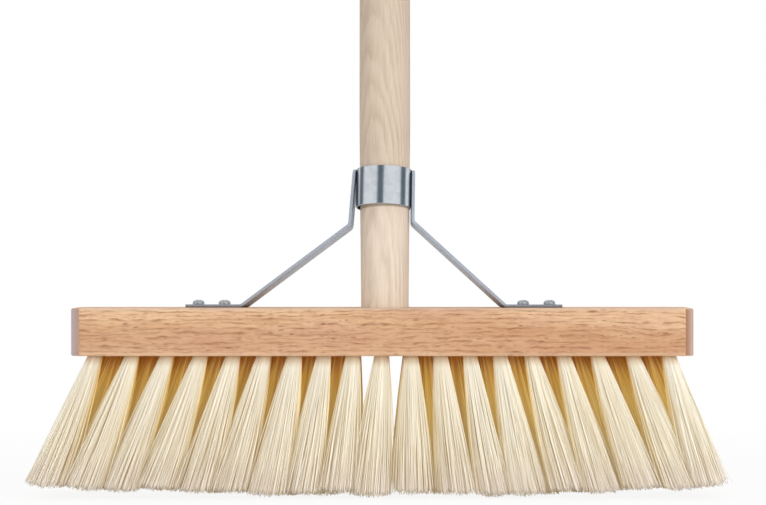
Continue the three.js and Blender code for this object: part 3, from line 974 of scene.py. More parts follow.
@dataclass
class Handle:
    """The round ash stick that leans back out of the block."""

    lean: float = math.radians(10)
    diameter: float = 30 * MM
    neck_diameter: float = 27.9 * MM
    neck_length: float = 5 * MM
    taper_length: float = 105 * MM
    offset: float = 1.5 * MM
    dome: float = 8 * MM
    end_cut: float = 1 * MM
    sides: int = 96
    taper_steps: int = 8
    dome_steps: int = 10

    @property
    def origin(self) -> Vector:
        """Gives the point where the stick's axis meets the top of the block."""
        return Vector((self.offset, 0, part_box("block")[1].z))

    def matrix(self) -> Matrix:
        """Gives the place of the stick's own frame, whose Z axis is the stick's axis."""
        return Matrix.Translation(self.origin) @ Matrix.Rotation(-self.lean, 4, "X")

    def radius(self, along: float) -> float:
        """Gives the radius at a distance along the axis from the top of the block."""
        share = min(max((along - self.neck_length) / self.taper_length, 0), 1)
        return (self.neck_diameter + (self.diameter - self.neck_diameter) * share) / 2

    def span(self) -> Pair:
        """Gives where the stick starts and ends along its axis."""
        return span_along("handle", self.origin, self.matrix().to_3x3() @ UP)

    def profile(self) -> list[Pair]:
        """Works out the outline from the end in the socket to the domed top.

        Returns:
            The radius and the height of each corner.
        """
        low, high = self.span()
        profile = [(0, low), (self.radius(low) - self.end_cut, low), (self.radius(low), low + self.end_cut)]
        for i in range(self.taper_steps + 1):
            along = self.neck_length + self.taper_length * i / self.taper_steps
            profile.append((self.radius(along), along))
        for i in range(self.dome_steps + 1):
            angle = i / self.dome_steps * math.pi / 2
            inset = self.dome * (1 - math.cos(angle))
            profile.append((self.diameter / 2 - inset, high - self.dome * (1 - math.sin(angle))))
        return profile + [(0, high)]

    def build(self) -> None:
        """Builds the stick and dresses it."""
        mesh = turned_mesh("handle_stick", self.profile(), self.sides)
        mesh.transform(self.matrix())
        mesh.polygons.foreach_set("use_smooth", [True] * len(mesh.polygons))
        mesh.materials.append(AshFinish(tuple(self.origin), self.lean).material())
        settle(new_piece("handle_stick", mesh), "handle_wood", "handle")


class Draw(Enum):
    """Random draws of a filament, each with a seed of its own."""

    STRAY = 1
    STRAY_X = 2
    STRAY_Y = 3
    TRIM = 4
    TONE = 5
    FRIZZ_X = 6
    FRIZZ_Y = 7
    LOOSE = 8


@dataclass
class TuftField:
    """The rows of bristle tufts under the block and their filaments.

    The cuts between the CAD slices lie past a column, in shares of the way to the next one. A set is how far
    use has pushed the tips to the left, the place of the most of it and its width.
    """

    handle: Handle
    column_pitch: float = 16.45 * MM
    column_widening: float = 0.0225 * MM
    rows: int = 5
    block_length: float = 360 * MM
    block_depth: float = 62 * MM
    end_margin: float = 14 * MM
    side_margin: float = 8 * MM
    socket_margin: float = 5 * MM
    middle_cut: float = 0.25
    outer_cut: float = 0.75
    hole_radius: float = 4.3 * MM
    hole_depth: float = 9 * MM
    fan_reach: float = 31.7 * MM
    fan_width: float = 98 * MM
    fan_across: float = 0.3
    wide_set: Corner = (2.4 * MM, 0.0, 110 * MM)
    middle_set: Corner = (4.5 * MM, 0.0, 14 * MM)
    right_set: Corner = (7.4 * MM, 166 * MM, 12 * MM)
    tip_play: float = 1.8 * MM
    tip_play_across: float = 1.0 * MM
    girth: Pair = (0.9, 1.14)
    root_radius: float = 3.6 * MM
    tip_radius: float = 10.5 * MM
    flare: float = 1.5
    straightness: float = 0.9
    filaments: int = 300
    steps: int = 3
    sides: int = 4
    thickness: float = 0.46 * MM
    slimming: float = 0.2
    shell: float = 0.36
    trim_radius: float = 3.4
    trim_flat: float = 0.5 * MM
    uneven: float = 2.4 * MM
    crown: float = 2.0 * MM
    ragged: float = 1.8 * MM
    ragged_power: float = 2.0
    notch: float = 2.0 * MM
    notch_range: Pair = (0.42, 0.68)
    bundle: Pattern = Pattern((3 * MM, 3 * MM, 3 * MM), 1.0)
    stray: float = 1.3 * MM
    stray_chances: Pair = (0.965, 1.0)
    stray_gain: float = 3.5
    sway: float = 1.3 * MM
    clump: Pattern = Pattern((8 * MM, 8 * MM, 8 * MM))
    frizz: float = 3.6 * MM
    frizz_power: float = 1.6
    loose_chances: Pair = (0.97, 1.0)
    loose_gain: float = 2.5
    # How deep filaments count for the painted shade and bounced light of the bristle finish; the lean cover
    # adds the side of a tuft that leans away from the light.
    buried: float = 0.9
    buried_facings: Pair = (0.5, -0.6)
    lean_cover: float = 0.6
    # Patches where the bristle finish paints more shade.
    streak_length: float = 7 * MM
    streak_spread: float = 2.6
    streak_range: Pair = (0.34, 0.66)
    seed: int = 11
    underside: float = field(default_factory=lambda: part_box("block")[0].z)

    def column_place(self, column: float) -> float:
        """Gives a column's distance from the middle of the block."""
        return self.column_pitch * column + self.column_widening * column ** 3

    def columns(self, staggered: bool) -> list[float]:
        """Works out the places of the columns of one row.

        Args:
            staggered: Whether the row stands half a column off the middle.

        Returns:
            The places along the block.
        """
        limit = self.block_length / 2 - self.end_margin
        places = [] if staggered else [0.0]
        column = 0.5 if staggered else 1.0
        while self.column_place(column) <= limit:
            places += [-self.column_place(column), self.column_place(column)]
            column += 1
        return places

    def seats(self) -> list[tuple[float, float, int]]:
        """Works out where the tufts stand, with none under the handle's socket.

        Returns:
            Each tuft's place on the underside and its row.
        """
        row_pitch = (self.block_depth - 2 * self.side_margin) / (self.rows - 1)
        bare_radius = self.handle.neck_diameter / 2 + self.socket_margin
        seats = []
        for row in range(self.rows):
            y = self.side_margin - self.block_depth / 2 + row * row_pitch
            places = self.columns(row % 2 == 1)
            seats += [(x, y, row) for x in places if math.hypot(x - self.handle.offset, y) > bare_radius]
        return seats

    def lean_at(self, x: float) -> float:
        """Works out how far a tuft's tips stand to the right of its root.

        Args:
            x: The root's place along the block.

        Returns:
            The distance, with the set that use has given the tuft.
        """
        fan = self.fan_reach * math.tanh(x / self.fan_width)
        sets = (self.wide_set, self.middle_set, self.right_set)
        return fan - sum(reach * math.exp(-((x - middle) / width) ** 2) for reach, middle, width in sets)

    def build(self) -> None:
        """Builds the tufts of each CAD slice as one piece and dresses them."""
        tree = self._tree(BristleFinish().material())
        outer_cut = self.column_place(len(self.columns(False)) // 4 + self.outer_cut)
        middle_cut = self.column_place(self.middle_cut)
        cuts = [-math.inf, -outer_cut, middle_cut, outer_cut, math.inf]
        names = ["far_left", "near_left", "near_right", "far_right"]
        for name, low, high in zip(names, cuts, cuts[1:]):
            seats = [seat for seat in self.seats() if low < seat[0] < high]
            piece = new_piece(f"{name}_tufts", self._seat_mesh(name, seats))
            tree.run(piece)
            settle(piece, "bristle", f"{name}_bristles")

    def _seat_mesh(self, name: str, seats: list[tuple[float, float, int]]) -> bpy.types.Mesh:
        """Makes a mesh of one point for each tuft, which carries where the tuft ends and how deep it stands.

        Args:
            name: Name of the slice.
            seats: The tufts' places and rows.

        Returns:
            The mesh.
        """
        draw = random.Random(f"{name}{self.seed}")
        trim = random.Random(f"{name} trim {self.seed}")
        mesh = bpy.data.meshes.new(f"{name}_seats")
        mesh.from_pydata([(x, y, self.underside) for x, y, _ in seats], [], [])
        tips = []
        outsides = []
        for x, y, row in seats:
            tip_x = x + self.lean_at(x) + draw.uniform(-1, 1) * self.tip_play
            tip_y = y * (1 + self.fan_across) + draw.uniform(-1, 1) * self.tip_play_across
            tips += [tip_x, tip_y, trim.uniform(0, 1) ** 2 * self.uneven]
            at_end = row % 2 == 0 and abs(x) >= max(self.columns(False))
            outside_y = {0: -1.0, self.rows - 1: 1.0}.get(row, 0.0)
            outsides += [math.copysign(1.0, x) if at_end else 0.0, outside_y, math.tanh(x / self.fan_width)]
        carry(mesh, "tuft_tip", PointKind.VECTOR, tips)
        carry(mesh, "outside", PointKind.VECTOR, outsides)
        carry(mesh, "tuft_turn", PointKind.NUMBER, [draw.uniform(0, 2 * math.pi) for _ in seats])
        carry(mesh, "tuft_girth", PointKind.NUMBER, [draw.uniform(*self.girth) for _ in seats])
        return mesh

    def _tree(self, material: bpy.types.Material) -> GeometryGraph:
        """Builds the tree that grows filaments from each tuft's point.

        Args:
            material: The filaments' material.

        Returns:
            The tree.
        """
        graph = GeometryGraph("bristle_tufts")
        steps = graph.named_input("Steps", SocketKind.COUNT, self.steps)
        thickness = graph.named_input("Thickness", SocketKind.NUMBER, self.thickness)
        dress = graph.named_input("Material", SocketKind.MATERIAL, material)
        points = self._points(graph, self._strands(graph), steps)
        along = graph.recalled("along")
        group = graph.recalled("strand", PointKind.COUNT)
        sockets = {"Points": points, "Curve Group ID": group, "Weight": along}
        lines = graph.node("GeometryNodePointsToCurves", {}, sockets)
        sockets = {"Resolution": self.sides, "Radius": thickness * 0.5}
        circle = graph.node("GeometryNodeCurvePrimitiveCircle", {"mode": "RADIUS"}, sockets)
        slimmed = 1.0 - along * self.slimming
        sockets = {"Curve": lines, "Profile Curve": circle, "Scale": slimmed, "Fill Caps": True}
        tubes = graph.node("GeometryNodeCurveToMesh", {}, sockets)
        facets = graph.node("GeometryNodeSetShadeSmooth", {}, {"Geometry": tubes, "Shade Smooth": False})
        graph.end(facets, dress)
        return graph

    def _strands(self, graph: GeometryGraph) -> Value:
        """Gives each filament one point, which carries its root, its tip and its tone.

        Args:
            graph: The tree.

        Returns:
            The points.
        """
        filaments = graph.named_input("Filaments per Tuft", SocketKind.COUNT, self.filaments)
        seed = graph.named_input("Seed", SocketKind.COUNT, self.seed)
        root_radius = graph.named_input("Root Radius", SocketKind.NUMBER, self.root_radius)
        tip_radius = graph.named_input("Tip Radius", SocketKind.NUMBER, self.tip_radius)
        shell = graph.named_input("Shell", SocketKind.NUMBER, self.shell)
        seats = graph.node("GeometryNodeMeshToPoints", {}, {"Mesh": graph.geometry()})
        strands = graph.repeated(seats, filaments)
        order = strands.sibling("Duplicate Index")
        seat = graph.node("GeometryNodeInputPosition")
        reach = ((order + 0.5) / filaments) ** shell
        turn = order * GOLDEN_TURN + graph.recalled("tuft_turn")
        offset = graph.vector(graph.cosine(turn) * reach, graph.sine(turn) * reach, 0.0)
        spread = offset * (tip_radius * graph.recalled("tuft_girth"))
        lengths = (self.streak_length, self.streak_length, self.streak_length)
        # Patches of painted shade among the filaments.
        patches = graph.noise(graph.stretched(seat, lengths) + offset * self.streak_spread)
        vectors = {
            "root": seat + offset * root_radius + graph.vector(0.0, 0.0, self.hole_depth * 0.5),
            "widening": spread - offset * root_radius,
            "tip": self._tip(graph, spread, reach, seed),
            "own": self._own_way(graph, seed),
        }
        numbers = {
            "tone": graph.chance(seed + Draw.TONE.value),
            "depth": self._shade_depth(graph, offset),
            "streak": graph.step(patches, *self.streak_range),
        }
        for name, vector in vectors.items():
            strands = graph.stored(strands, name, PointKind.VECTOR, vector)
        for name, number in numbers.items():
            strands = graph.stored(strands, name, PointKind.NUMBER, number)
        return graph.stored(strands, "strand", PointKind.COUNT, graph.node("GeometryNodeInputIndex"))

    def _tip(self, graph: GeometryGraph, spread: Value, reach: Value, seed: Value) -> Value:
        """Gives the place of a filament's tip on the trimmed line of the tufts.

        Args:
            graph: The tree.
            spread: The tip's place in its tuft.
            reach: The filament's distance from the middle of its tuft, in tuft radii.
            seed: Seed of the random draws.

        Returns:
            The tip's place.
        """
        ragged = graph.named_input("Ragged Trim", SocketKind.NUMBER, self.ragged)
        crown = graph.named_input("Crown", SocketKind.NUMBER, self.crown)
        far = graph.step(graph.chance(seed + Draw.STRAY.value), *self.stray_chances) * self.stray_gain + 1.0
        stray_x = graph.chance(seed + Draw.STRAY_X.value, -1.0, 1.0) * far * self.stray
        stray_y = graph.chance(seed + Draw.STRAY_Y.value, -1.0, 1.0) * far * self.stray
        tip_x, tip_y, tuft_level = graph.parts(graph.recalled("tuft_tip", PointKind.VECTOR) + spread)
        end_x = tip_x + stray_x
        level = graph.greater(end_x * end_x / (2 * self.trim_radius) - self.trim_flat, 0.0)
        bundles = self.bundle.at(graph, graph.vector(end_x, tip_y, 0.0))
        trimmed = level + tuft_level + graph.step(bundles, *self.notch_range) * self.notch
        uncut = graph.chance(seed + Draw.TRIM.value) ** self.ragged_power * ragged
        return graph.vector(end_x, tip_y + stray_y, trimmed + uncut + reach * reach * crown)

    def _own_way(self, graph: GeometryGraph, seed: Value) -> Value:
        """Gives how far a filament goes its own way, where a few loose ones go further.

        Args:
            graph: The tree.
            seed: Seed of the random draws.

        Returns:
            The level direction, in shares of the frizz.
        """
        loose = graph.step(graph.chance(seed + Draw.LOOSE.value), *self.loose_chances) * self.loose_gain + 1.0
        x = graph.chance(seed + Draw.FRIZZ_X.value, -0.5, 0.5)
        y = graph.chance(seed + Draw.FRIZZ_Y.value, -0.5, 0.5)
        return graph.vector(x, y, 0.0) * loose

    def _shade_depth(self, graph: GeometryGraph, offset: Value) -> Value:
        """Gives how deep a filament lies inside the field or on the side of its tuft turned from the light,
        from 0 on its outer and upper sides; the bristle finish paints it as shade and bounced light.

        Args:
            graph: The tree.
            offset: The filament's place in its tuft, in tuft radii.

        Returns:
            The depth from 0 to the share named buried.
        """
        outside_x, outside_y, lean = graph.parts(graph.recalled("outside", PointKind.VECTOR))
        x, y, _ = graph.parts(offset)
        facing_x = x * outside_x + outside_x * outside_x
        facing_y = y * outside_y + outside_y * outside_y
        facing = graph.greater(facing_x, facing_y) + x * lean * self.lean_cover - 1.0
        return graph.step(facing, *self.buried_facings) * self.buried

    def _points(self, graph: GeometryGraph, strands: Value, steps: Value) -> Value:
        """Gives each filament its points from root to tip, swayed together with its neighbours.

        Args:
            graph: The tree.
            strands: One point for each filament.
            steps: Number of straight pieces in a filament.

        Returns:
            The points.
        """
        sway = graph.named_input("Sway", SocketKind.NUMBER, self.sway)
        frizz = graph.named_input("Frizz", SocketKind.NUMBER, self.frizz)
        each = graph.repeated(strands, steps + 1)
        kept = graph.stored(each, "along", PointKind.NUMBER, each.sibling("Duplicate Index") / steps)
        root = graph.recalled("root", PointKind.VECTOR)
        tip = graph.recalled("tip", PointKind.VECTOR)
        share = graph.recalled("along")
        lateral = share * self.straightness + share * share * (1 - self.straightness)
        straight = root + (tip - root) * graph.vector(lateral, lateral, share)
        push_x, push_y, _ = graph.parts(self.clump.at(graph, tip).sibling("Color"))
        bend = graph.vector(push_x - NOISE_MIDDLE, push_y - NOISE_MIDDLE, 0.0) * (share * share * sway)
        own = graph.recalled("own", PointKind.VECTOR) * (share ** self.frizz_power * frizz)
        early = 1.0 - (1.0 - share) ** self.flare - lateral
        flared = straight + graph.recalled("widening", PointKind.VECTOR) * early
        sockets = {"Geometry": kept, "Position": flared + bend + own}
        return graph.node("GeometryNodeSetPosition", {}, sockets)


@dataclass
class Block:
    """The beech block, drilled for the tufts, the handle and the screws."""

    tufts: TuftField
    handle: Handle
    corner_cut: float = 5.6 * MM
    edge_round: float = 0.9 * MM
    edge_steps: int = 3
    clearance: float = 0.3 * MM
    socket_rise: float = 20 * MM
    screw_hole_radius: float = 2.1 * MM
    hole_sides: int = 20
    end_facing: float = 0.6

    def build(self) -> None:
        """Builds the block and dresses it."""
        piece = new_piece("beech_block", self._blank())
        bevel = piece.modifiers.new("soft_edges", "BEVEL")
        bevel.width = self.edge_round
        bevel.segments = self.edge_steps
        cutter = new_piece("drills", self._drills())
        drill = piece.modifiers.new("drilled", "BOOLEAN")
        drill.operation = "DIFFERENCE"
        drill.solver = "EXACT"
        drill.object = cutter
        keep_evaluated(piece)
        bpy.data.objects.remove(cutter)
        self._dress(piece.data)
        settle(piece, "block_wood", "block")

    def _blank(self) -> bpy.types.Mesh:
        """Makes the undrilled block with its four upright corners cut.

        Returns:
            The mesh.
        """
        low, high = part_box("block")
        cut = self.corner_cut
        outline = [
            (low.x + cut, low.y), (high.x - cut, low.y), (high.x, low.y + cut), (high.x, high.y - cut),
            (high.x - cut, high.y), (low.x + cut, high.y), (low.x, high.y - cut), (low.x, low.y + cut),
        ]
        made = bmesh.new()
        lower = [made.verts.new((x, y, low.z)) for x, y in outline]
        upper = [made.verts.new((x, y, high.z)) for x, y in outline]
        made.faces.new(lower)
        made.faces.new(upper)
        for i, j in zip(range(len(outline)), [*range(1, len(outline)), 0]):
            made.faces.new([lower[i], lower[j], upper[j], upper[i]])
        return mesh_of("beech_block", made)

    def _drills(self) -> bpy.types.Mesh:
        """Makes all cutters in one mesh: the tuft holes, the handle's socket and the screw holes.

        Returns:
            The mesh.
        """
        made = bmesh.new()
        radius = self.tufts.hole_radius
        for x, y, _ in self.tufts.seats():
            place = Matrix.Translation((x, y, self.tufts.underside))
            self._add_round(made, radius, radius, 2 * self.tufts.hole_depth, place)
        low, _ = self.handle.span()
        lower = self.handle.radius(low) + self.clearance
        upper = self.handle.radius(self.socket_rise) + self.clearance
        middle = Matrix.Translation((0, 0, (low - self.clearance + self.socket_rise) / 2))
        depth = self.socket_rise - low + self.clearance
        self._add_round(made, lower, upper, depth, self.handle.matrix() @ middle, self.handle.sides)
        radius = self.screw_hole_radius
        for node in Screws.FOOT_NODES:
            low_corner, high_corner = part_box(node)
            place = Matrix.Translation((low_corner + high_corner) / 2)
            self._add_round(made, radius, radius, high_corner.z - low_corner.z, place)
        return mesh_of("drills", made)

    def _add_round(self, made: bmesh.types.BMesh, lower: float, upper: float, height: float,
                   place: Matrix, sides: int | None = None) -> None:
        """Adds one round cutter.

        Args:
            made: The bmesh that takes it.
            lower: Radius of its lower end.
            upper: Radius of its upper end.
            height: Its height.
            place: Place of its middle.
            sides: Faces round it, or None for those of a small hole.
        """
        bmesh.ops.create_cone(made, cap_ends=True, segments=sides or self.hole_sides, radius1=lower,
                              radius2=upper, depth=height, matrix=place)

    def _dress(self, mesh: bpy.types.Mesh) -> None:
        """Gives the long faces their flecked grain and the sawn ends theirs.

        Args:
            mesh: The block's mesh.
        """
        mesh.materials.clear()
        mesh.materials.append(BeechFinish().material())
        mesh.materials.append(EndGrainFinish().material())
        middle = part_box("block")[1].x - 2 * self.corner_cut
        for polygon in mesh.polygons:
            at_end = abs(polygon.center.x) > middle
            polygon.material_index = 1 if at_end and abs(polygon.normal.x) > self.end_facing else 0


@dataclass
class Stay:
    """The stay: a lapped zinc-coated collar round the handle and a bent strip leg on each side."""

    handle: Handle
    rise: float = 70.6 * MM
    tilt: float = math.radians(1.2)
    height: float = 22.9 * MM
    thickness: float = 0.7 * MM
    offset: float = 0.9 * MM
    clearance: float = 0.3 * MM
    lap: float = 14 * MM
    joggle: float = 8 * MM
    spans: int = 180
    collar_edge: float = 0.22 * MM
    collar_finish: ZincFinish = ZincFinish()
    strip_edge: float = 0.35 * MM
    leg_finish: ZincFinish = ZincFinish(
        "dull_zinc", linear(178, 186, 198), linear(164, 172, 184),
        roughness=0.42, metal=0.45, relief=0.0004 * MM, near_block_share=0.9,
    )
    press: float = 0.5 * MM
    press_start: float = 2 * MM
    join_distance: float = 0.001 * MM
    flat_angle: float = math.radians(1)

    def matrix(self) -> Matrix:
        """Gives the place of the collar's own frame."""
        place = Matrix.Translation((self.offset - self.handle.offset, 0, self.rise))
        return self.handle.matrix() @ place @ Matrix.Rotation(self.tilt, 4, "Y")

    def build(self) -> None:
        """Builds the collar and the legs and dresses them."""
        collar = new_piece("zinc_collar", self._collar())
        soften_edges(collar, self.collar_edge)
        collar.data.materials.append(self.collar_finish.material())
        settle(collar, "galvanised_steel", "stay_collar")
        dull = self.leg_finish.material()
        for side in ("left", "right"):
            node = f"{side}_stay_leg"
            leg = new_piece(f"{side}_zinc_leg", self._merged_copy(node))
            self._press_in(leg.data)
            soften_edges(leg, self.strip_edge)
            leg.data.materials.clear()
            leg.data.materials.append(dull)
            settle(leg, "galvanised_steel", node)

    def _collar(self) -> bpy.types.Mesh:
        """Rolls the band once round, with its outer end joggled out over the inner one at the back.

        Returns:
            The mesh.
        """
        middle_radius = self._outer_radius() - self.thickness / 2
        half_lap = self.lap / 2 / middle_radius
        joggle = self.joggle / middle_radius
        start = math.pi / 2 - half_lap
        end = math.pi / 2 + 2 * math.pi + half_lap
        lap_start = end - 2 * half_lap
        made = bmesh.new()
        sections = []
        for i in range(self.spans + 1):
            angle = start + (end - start) * i / self.spans
            share = min(max((angle - lap_start + joggle) / joggle, 0), 1)
            step_out = (self.thickness + self.clearance) * share * share * (3 - 2 * share)
            corners = []
            for out, up in ((-1, -1), (1, -1), (1, 1), (-1, 1)):
                radius = middle_radius + step_out + out * self.thickness / 2
                place = Vector((radius * math.cos(angle), radius * math.sin(angle), up * self.height / 2))
                corners.append(made.verts.new(self.matrix() @ place))
            sections.append(corners)
        made.faces.new(sections[0])
        made.faces.new(sections[-1])
        for before, after in zip(sections, sections[1:]):
            for k in range(4):
                made.faces.new([before[k], before[k - 1], after[k - 1], after[k]])
        return mesh_of("zinc_collar", made)

    def _outer_radius(self) -> float:
        """Measures the CAD collar on its front half, away from the lap.

        Returns:
            The outer radius.
        """
        to_collar = self.matrix().inverted()
        corners = [to_collar @ vertex.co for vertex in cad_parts["stay_collar"].data.vertices]
        return max(math.hypot(corner.x, corner.y) for corner in corners if corner.y < 0)

    def _press_in(self, mesh: bpy.types.Mesh) -> None:
        """Bends a leg inwards, more towards its upper end, so that it lies against the collar.

        Args:
            mesh: The leg's mesh.
        """
        start = self.handle.origin.z + self.press_start
        top = max(vertex.co.z for vertex in mesh.vertices)
        for vertex in mesh.vertices:
            share = max(vertex.co.z - start, 0) / (top - start)
            vertex.co.x -= math.copysign(self.press * share, vertex.co.x)

    def _merged_copy(self, node: str) -> bpy.types.Mesh:
        """Copies a CAD node's mesh and joins its loose triangles to whole faces.

        Args:
            node: The node's name.

        Returns:
            The mesh.
        """
        made = bmesh.new()
        made.from_mesh(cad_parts[node].data)
        bmesh.ops.remove_doubles(made, verts=made.verts, dist=self.join_distance)
        bmesh.ops.dissolve_limit(made, angle_limit=self.flat_angle, verts=made.verts, edges=made.edges)
        return mesh_of(node, made)


@dataclass
class Screws:
    """The domed wood screws: two in each foot and one behind the collar."""

    FOOT_NODES = ("left_foot_outer_screw", "left_foot_inner_screw",
                  "right_foot_outer_screw", "right_foot_inner_screw")
    COLLAR_NODE = "collar_screw"

    stay: Stay
    head_diameter: float = 7 * MM
    head_height: float = 2.8 * MM
    head_edge: float = 0.2 * MM
    rim_share: float = 0.3
    dome_steps: int = 8
    shank_diameter: float = 3.6 * MM
    length: float = 15 * MM
    point: float = 3 * MM
    recess_length: float = 3.6 * MM
    recess_width: float = 0.8 * MM
    recess_depth: float = 1.4 * MM
    sides: int = 40
    seed: int = 4
    finish: ZincFinish = ZincFinish(
        "screw_zinc", linear(196, 199, 202), linear(172, 176, 180), roughness=0.26,
    )

    def build(self) -> None:
        """Builds all screws as one piece and dresses it."""
        template = new_piece("screw_blank", self._blank())
        piece = new_piece("dome_screws", self._seat_mesh())
        self._tree(template, self.finish.material()).run(piece)
        bpy.data.objects.remove(template)
        settle(piece, "screw_steel", *self.FOOT_NODES, self.COLLAR_NODE)

    def _seat_mesh(self) -> bpy.types.Mesh:
        """Makes a mesh of one point under each head, which carries the direction that the head faces.

        Returns:
            The mesh.
        """
        seats = []
        facings = []
        for node in self.FOOT_NODES:
            low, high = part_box(node)
            seats.append(((low.x + high.x) / 2, (low.y + high.y) / 2, high.z - self.head_height))
            facings += list(UP)
        collar = self.stay.matrix()
        facing = collar.to_3x3() @ Vector((0, 1, 0))
        _, outermost = span_along(self.COLLAR_NODE, collar.translation, facing)
        seats.append(collar.translation + facing * (outermost - self.head_height))
        facings += list(facing)
        mesh = bpy.data.meshes.new("screw_seats")
        mesh.from_pydata(seats, [], [])
        carry(mesh, "facing", PointKind.VECTOR, facings)
        return mesh

    def _blank(self) -> bpy.types.Mesh:
        """Turns one screw without its recess, its head standing on z = 0.

        Returns:
            The mesh.
        """
        head = self.head_diameter / 2
        shank = self.shank_diameter / 2
        rim = self.head_height * self.rim_share
        profile = [(0, -self.length), (shank, -self.length + self.point), (shank, 0)]
        profile += [(head - self.head_edge, 0), (head, self.head_edge)]
        for i in range(self.dome_steps):
            angle = i / self.dome_steps * math.pi / 2
            profile.append((head * math.cos(angle), rim + (self.head_height - rim) * math.sin(angle)))
        return turned_mesh("screw_blank", profile + [(0, self.head_height)], self.sides)

    def _tree(self, template: bpy.types.Object, material: bpy.types.Material) -> GeometryGraph:
        """Builds the tree that cuts a cross recess and sets a screw on each seat.

        Args:
            template: The screw without its recess.
            material: The screws' material.

        Returns:
            The tree.
        """
        graph = GeometryGraph("dome_screws")
        blank = graph.named_input("Screw", SocketKind.OBJECT, template)
        length = graph.named_input("Recess Length", SocketKind.NUMBER, self.recess_length)
        width = graph.named_input("Recess Width", SocketKind.NUMBER, self.recess_width)
        depth = graph.named_input("Recess Depth", SocketKind.NUMBER, self.recess_depth)
        seed = graph.named_input("Seed", SocketKind.COUNT, self.seed)
        dress = graph.named_input("Material", SocketKind.MATERIAL, material)
        cut = graph.node("GeometryNodeObjectInfo", {}, {"Object": blank}).sibling("Geometry")
        for size in (graph.vector(length, width, depth * 2), graph.vector(width, length, depth * 2)):
            bar = graph.node("GeometryNodeMeshCube", {}, {"Size": size})
            lift = graph.vector(0.0, 0.0, self.head_height)
            raised = graph.node("GeometryNodeTransform", {}, {"Geometry": bar, "Translation": lift})
            settings = {"operation": "DIFFERENCE", "solver": "EXACT"}
            cut = graph.node("GeometryNodeMeshBoolean", settings, {"Mesh 1": cut, "Mesh 2": raised})
        facing = graph.recalled("facing", PointKind.VECTOR)
        upright = graph.node("FunctionNodeAlignRotationToVector", {"axis": "Z"}, {"Vector": facing})
        sockets = {"Axis": UP, "Angle": graph.chance(seed, 0.0, math.pi / 2)}
        turn = graph.node("FunctionNodeAxisAngleToRotation", {}, sockets)
        sockets = {"Rotation": upright, "Rotate By": turn}
        rotation = graph.node("FunctionNodeRotateRotation", {"rotation_space": "LOCAL"}, sockets)
        points = graph.node("GeometryNodeMeshToPoints", {}, {"Mesh": graph.geometry()})
        sockets = {"Points": points, "Instance": cut, "Rotation": rotation}
        graph.end(graph.node("GeometryNodeInstanceOnPoints", {}, sockets), dress)
        return graph


@dataclass(frozen=True)
class Lamp:
    """One square soft lamp, with the side of its square and its power in watts."""

    name: str
    place: Corner
    size: float
    power: float

    def hang(self, aim: Corner) -> None:
        """Hangs the lamp so that it looks at a point.

        Args:
            aim: The point.
        """
        light = bpy.data.lights.new(self.name, "AREA")
        light.size = self.size
        light.energy = self.power
        piece = bpy.data.objects.new(self.name, light)
        piece.location = self.place
        piece.rotation_euler = (Vector(aim) - Vector(self.place)).to_track_quat("-Z", "Y").to_euler()
        piece.visible_glossy = False
        bpy.context.scene.collection.objects.link(piece)


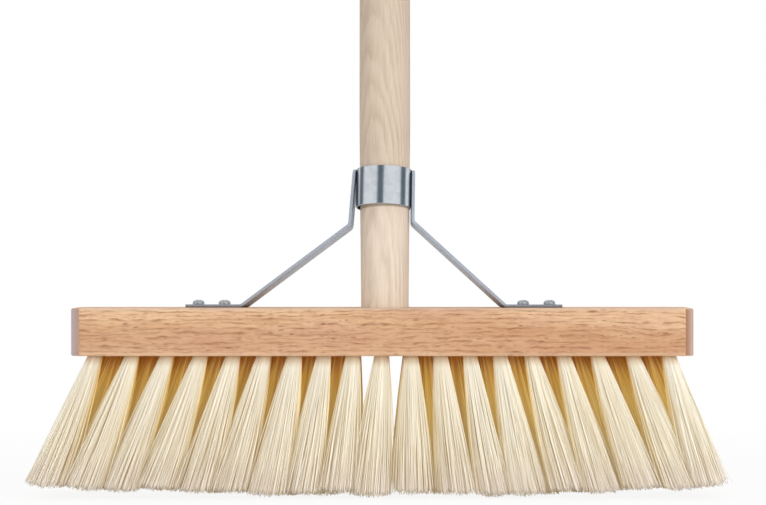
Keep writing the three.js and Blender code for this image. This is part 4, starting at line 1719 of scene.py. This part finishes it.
@dataclass
class Studio:
    """The pale floor, the soft light and the camera at the photograph's angle.

    A dark band is the bearing of its middle from the camera's side and half of its width, in degrees.
    """

    camera_place: Corner = (0.4 * MM, -2.031, 141.8 * MM)
    lens: float = 163.0
    sensor: float = 36.0
    floor_half: float = 12.0
    floor_drop: float = 0.2 * MM
    floor_colour: Colour = linear(232, 232, 232)
    floor_white: float = 0.9
    floor_fade: Pair = (0.3, 0.9)
    ambient: float = 0.55
    dark_bands: tuple[Pair, ...] = ((-15, 14), (90, 14), (-109, 13), (147, 12), (-141, 6))
    dark_tint: Colour = linear(102, 114, 124)
    band_edge: float = 3
    key_lamp: Lamp = Lamp("key_lamp", (1.9, -2.1, 0.7), 1.4, 31)
    fill_lamp: Lamp = Lamp("fill_lamp", (-1.4, -2.5, 0.6), 1.4, 18)
    top_lamp: Lamp = Lamp("top_lamp", (0.0, 0.2, 2.6), 2.0, 24)
    lamp_aim: Corner = (0.0, 0.0, 100 * MM)

    def build(self) -> None:
        """Builds the stage around the object."""
        self._camera()
        self._floor()
        self._world()
        for lamp in (self.key_lamp, self.fill_lamp, self.top_lamp):
            lamp.hang(self.lamp_aim)
        bpy.context.scene.view_settings.view_transform = "Standard"

    def _camera(self) -> None:
        """Sets the camera level, looking along +Y."""
        camera = bpy.data.cameras.new("camera")
        camera.lens = self.lens
        camera.sensor_width = self.sensor
        piece = bpy.data.objects.new("camera", camera)
        piece.location = self.camera_place
        piece.rotation_euler = (math.pi / 2, 0, 0)
        bpy.context.scene.collection.objects.link(piece)
        bpy.context.scene.camera = piece

    def _floor(self) -> None:
        """Lays a white floor that still takes the object's shadow."""
        half = self.floor_half
        mesh = bpy.data.meshes.new("floor")
        corners = [(-half, -half), (half, -half), (half, half), (-half, half)]
        mesh.from_pydata([(x, y, -self.floor_drop) for x, y in corners], [], [(0, 1, 2, 3)])
        graph = ShaderGraph("white_floor")
        matte = graph.node("ShaderNodeBsdfDiffuse", {}, {"Color": self.floor_colour})
        glow = graph.node("ShaderNodeEmission", {}, {"Color": WHITE, "Strength": 1.0})
        away = graph.node("ShaderNodeVectorMath", {"operation": "LENGTH"}, {"Vector": graph.place()})
        far = graph.step(away.sibling("Value"), *self.floor_fade)
        seen = self._seen(graph) * (self.floor_white + far * (1 - self.floor_white))
        shader = graph.node("ShaderNodeMixShader", {}, {"Fac": seen, "Shader": matte, "Shader_001": glow})
        mesh.materials.append(graph.show(shader))
        floor = new_piece("floor", mesh)

    def _seen(self, graph: Graph) -> Value:
        """Tells the rays from the camera, a mirror or glass, which see the white background, from the rest.

        Args:
            graph: The graph of the floor or of the world.

        Returns:
            1 for such a ray and 0 for any other.
        """
        camera = graph.node("ShaderNodeLightPath")
        mirror = graph.greater(camera.sibling("Is Glossy Ray"), camera.sibling("Is Transmission Ray"))
        return graph.greater(camera, mirror)

    def _world(self) -> None:
        """Lights the object evenly, with dark bands among the white that bright metal reflects."""
        world = bpy.data.worlds.new("studio")
        world.use_nodes = True
        world.node_tree.nodes.clear()
        graph = Graph(world.node_tree)
        x, y, _ = graph.parts(graph.node("ShaderNodeTexCoord").sibling("Generated"))
        bearing = graph.arithmetic("ARCTAN2", x, 0.0 - y) * (180 / math.pi)
        dark = self._band(graph, bearing, *self.dark_bands[0])
        for band in self.dark_bands[1:]:
            dark = graph.greater(dark, self._band(graph, bearing, *band))
        mirrored = dark * graph.node("ShaderNodeLightPath").sibling("Is Glossy Ray")
        seen = self._seen(graph)
        strength = seen + (1 - seen) * self.ambient
        colour = graph.mix(mirrored, WHITE, self.dark_tint)
        background = graph.node("ShaderNodeBackground", {}, {"Color": colour, "Strength": strength})
        graph.end_in("ShaderNodeOutputWorld", background)
        bpy.context.scene.world = world

    def _band(self, graph: Graph, bearing: Value, middle: float, half: float) -> Value:
        """Gives 1 inside one upright dark band of the studio and 0 outside it."""
        away = graph.size(bearing - middle)
        return graph.step(away, half + self.band_edge, half - self.band_edge)


def main() -> None:
    """Builds the stage and every piece, in order."""
    logging.basicConfig(level=logging.INFO)
    Studio().build()
    handle = Handle()
    handle.build()
    tufts = TuftField(handle)
    tufts.build()
    Block(tufts, handle).build()
    stay = Stay(handle)
    stay.build()
    Screws(stay).build()


if __name__ == "__main__":
    main()
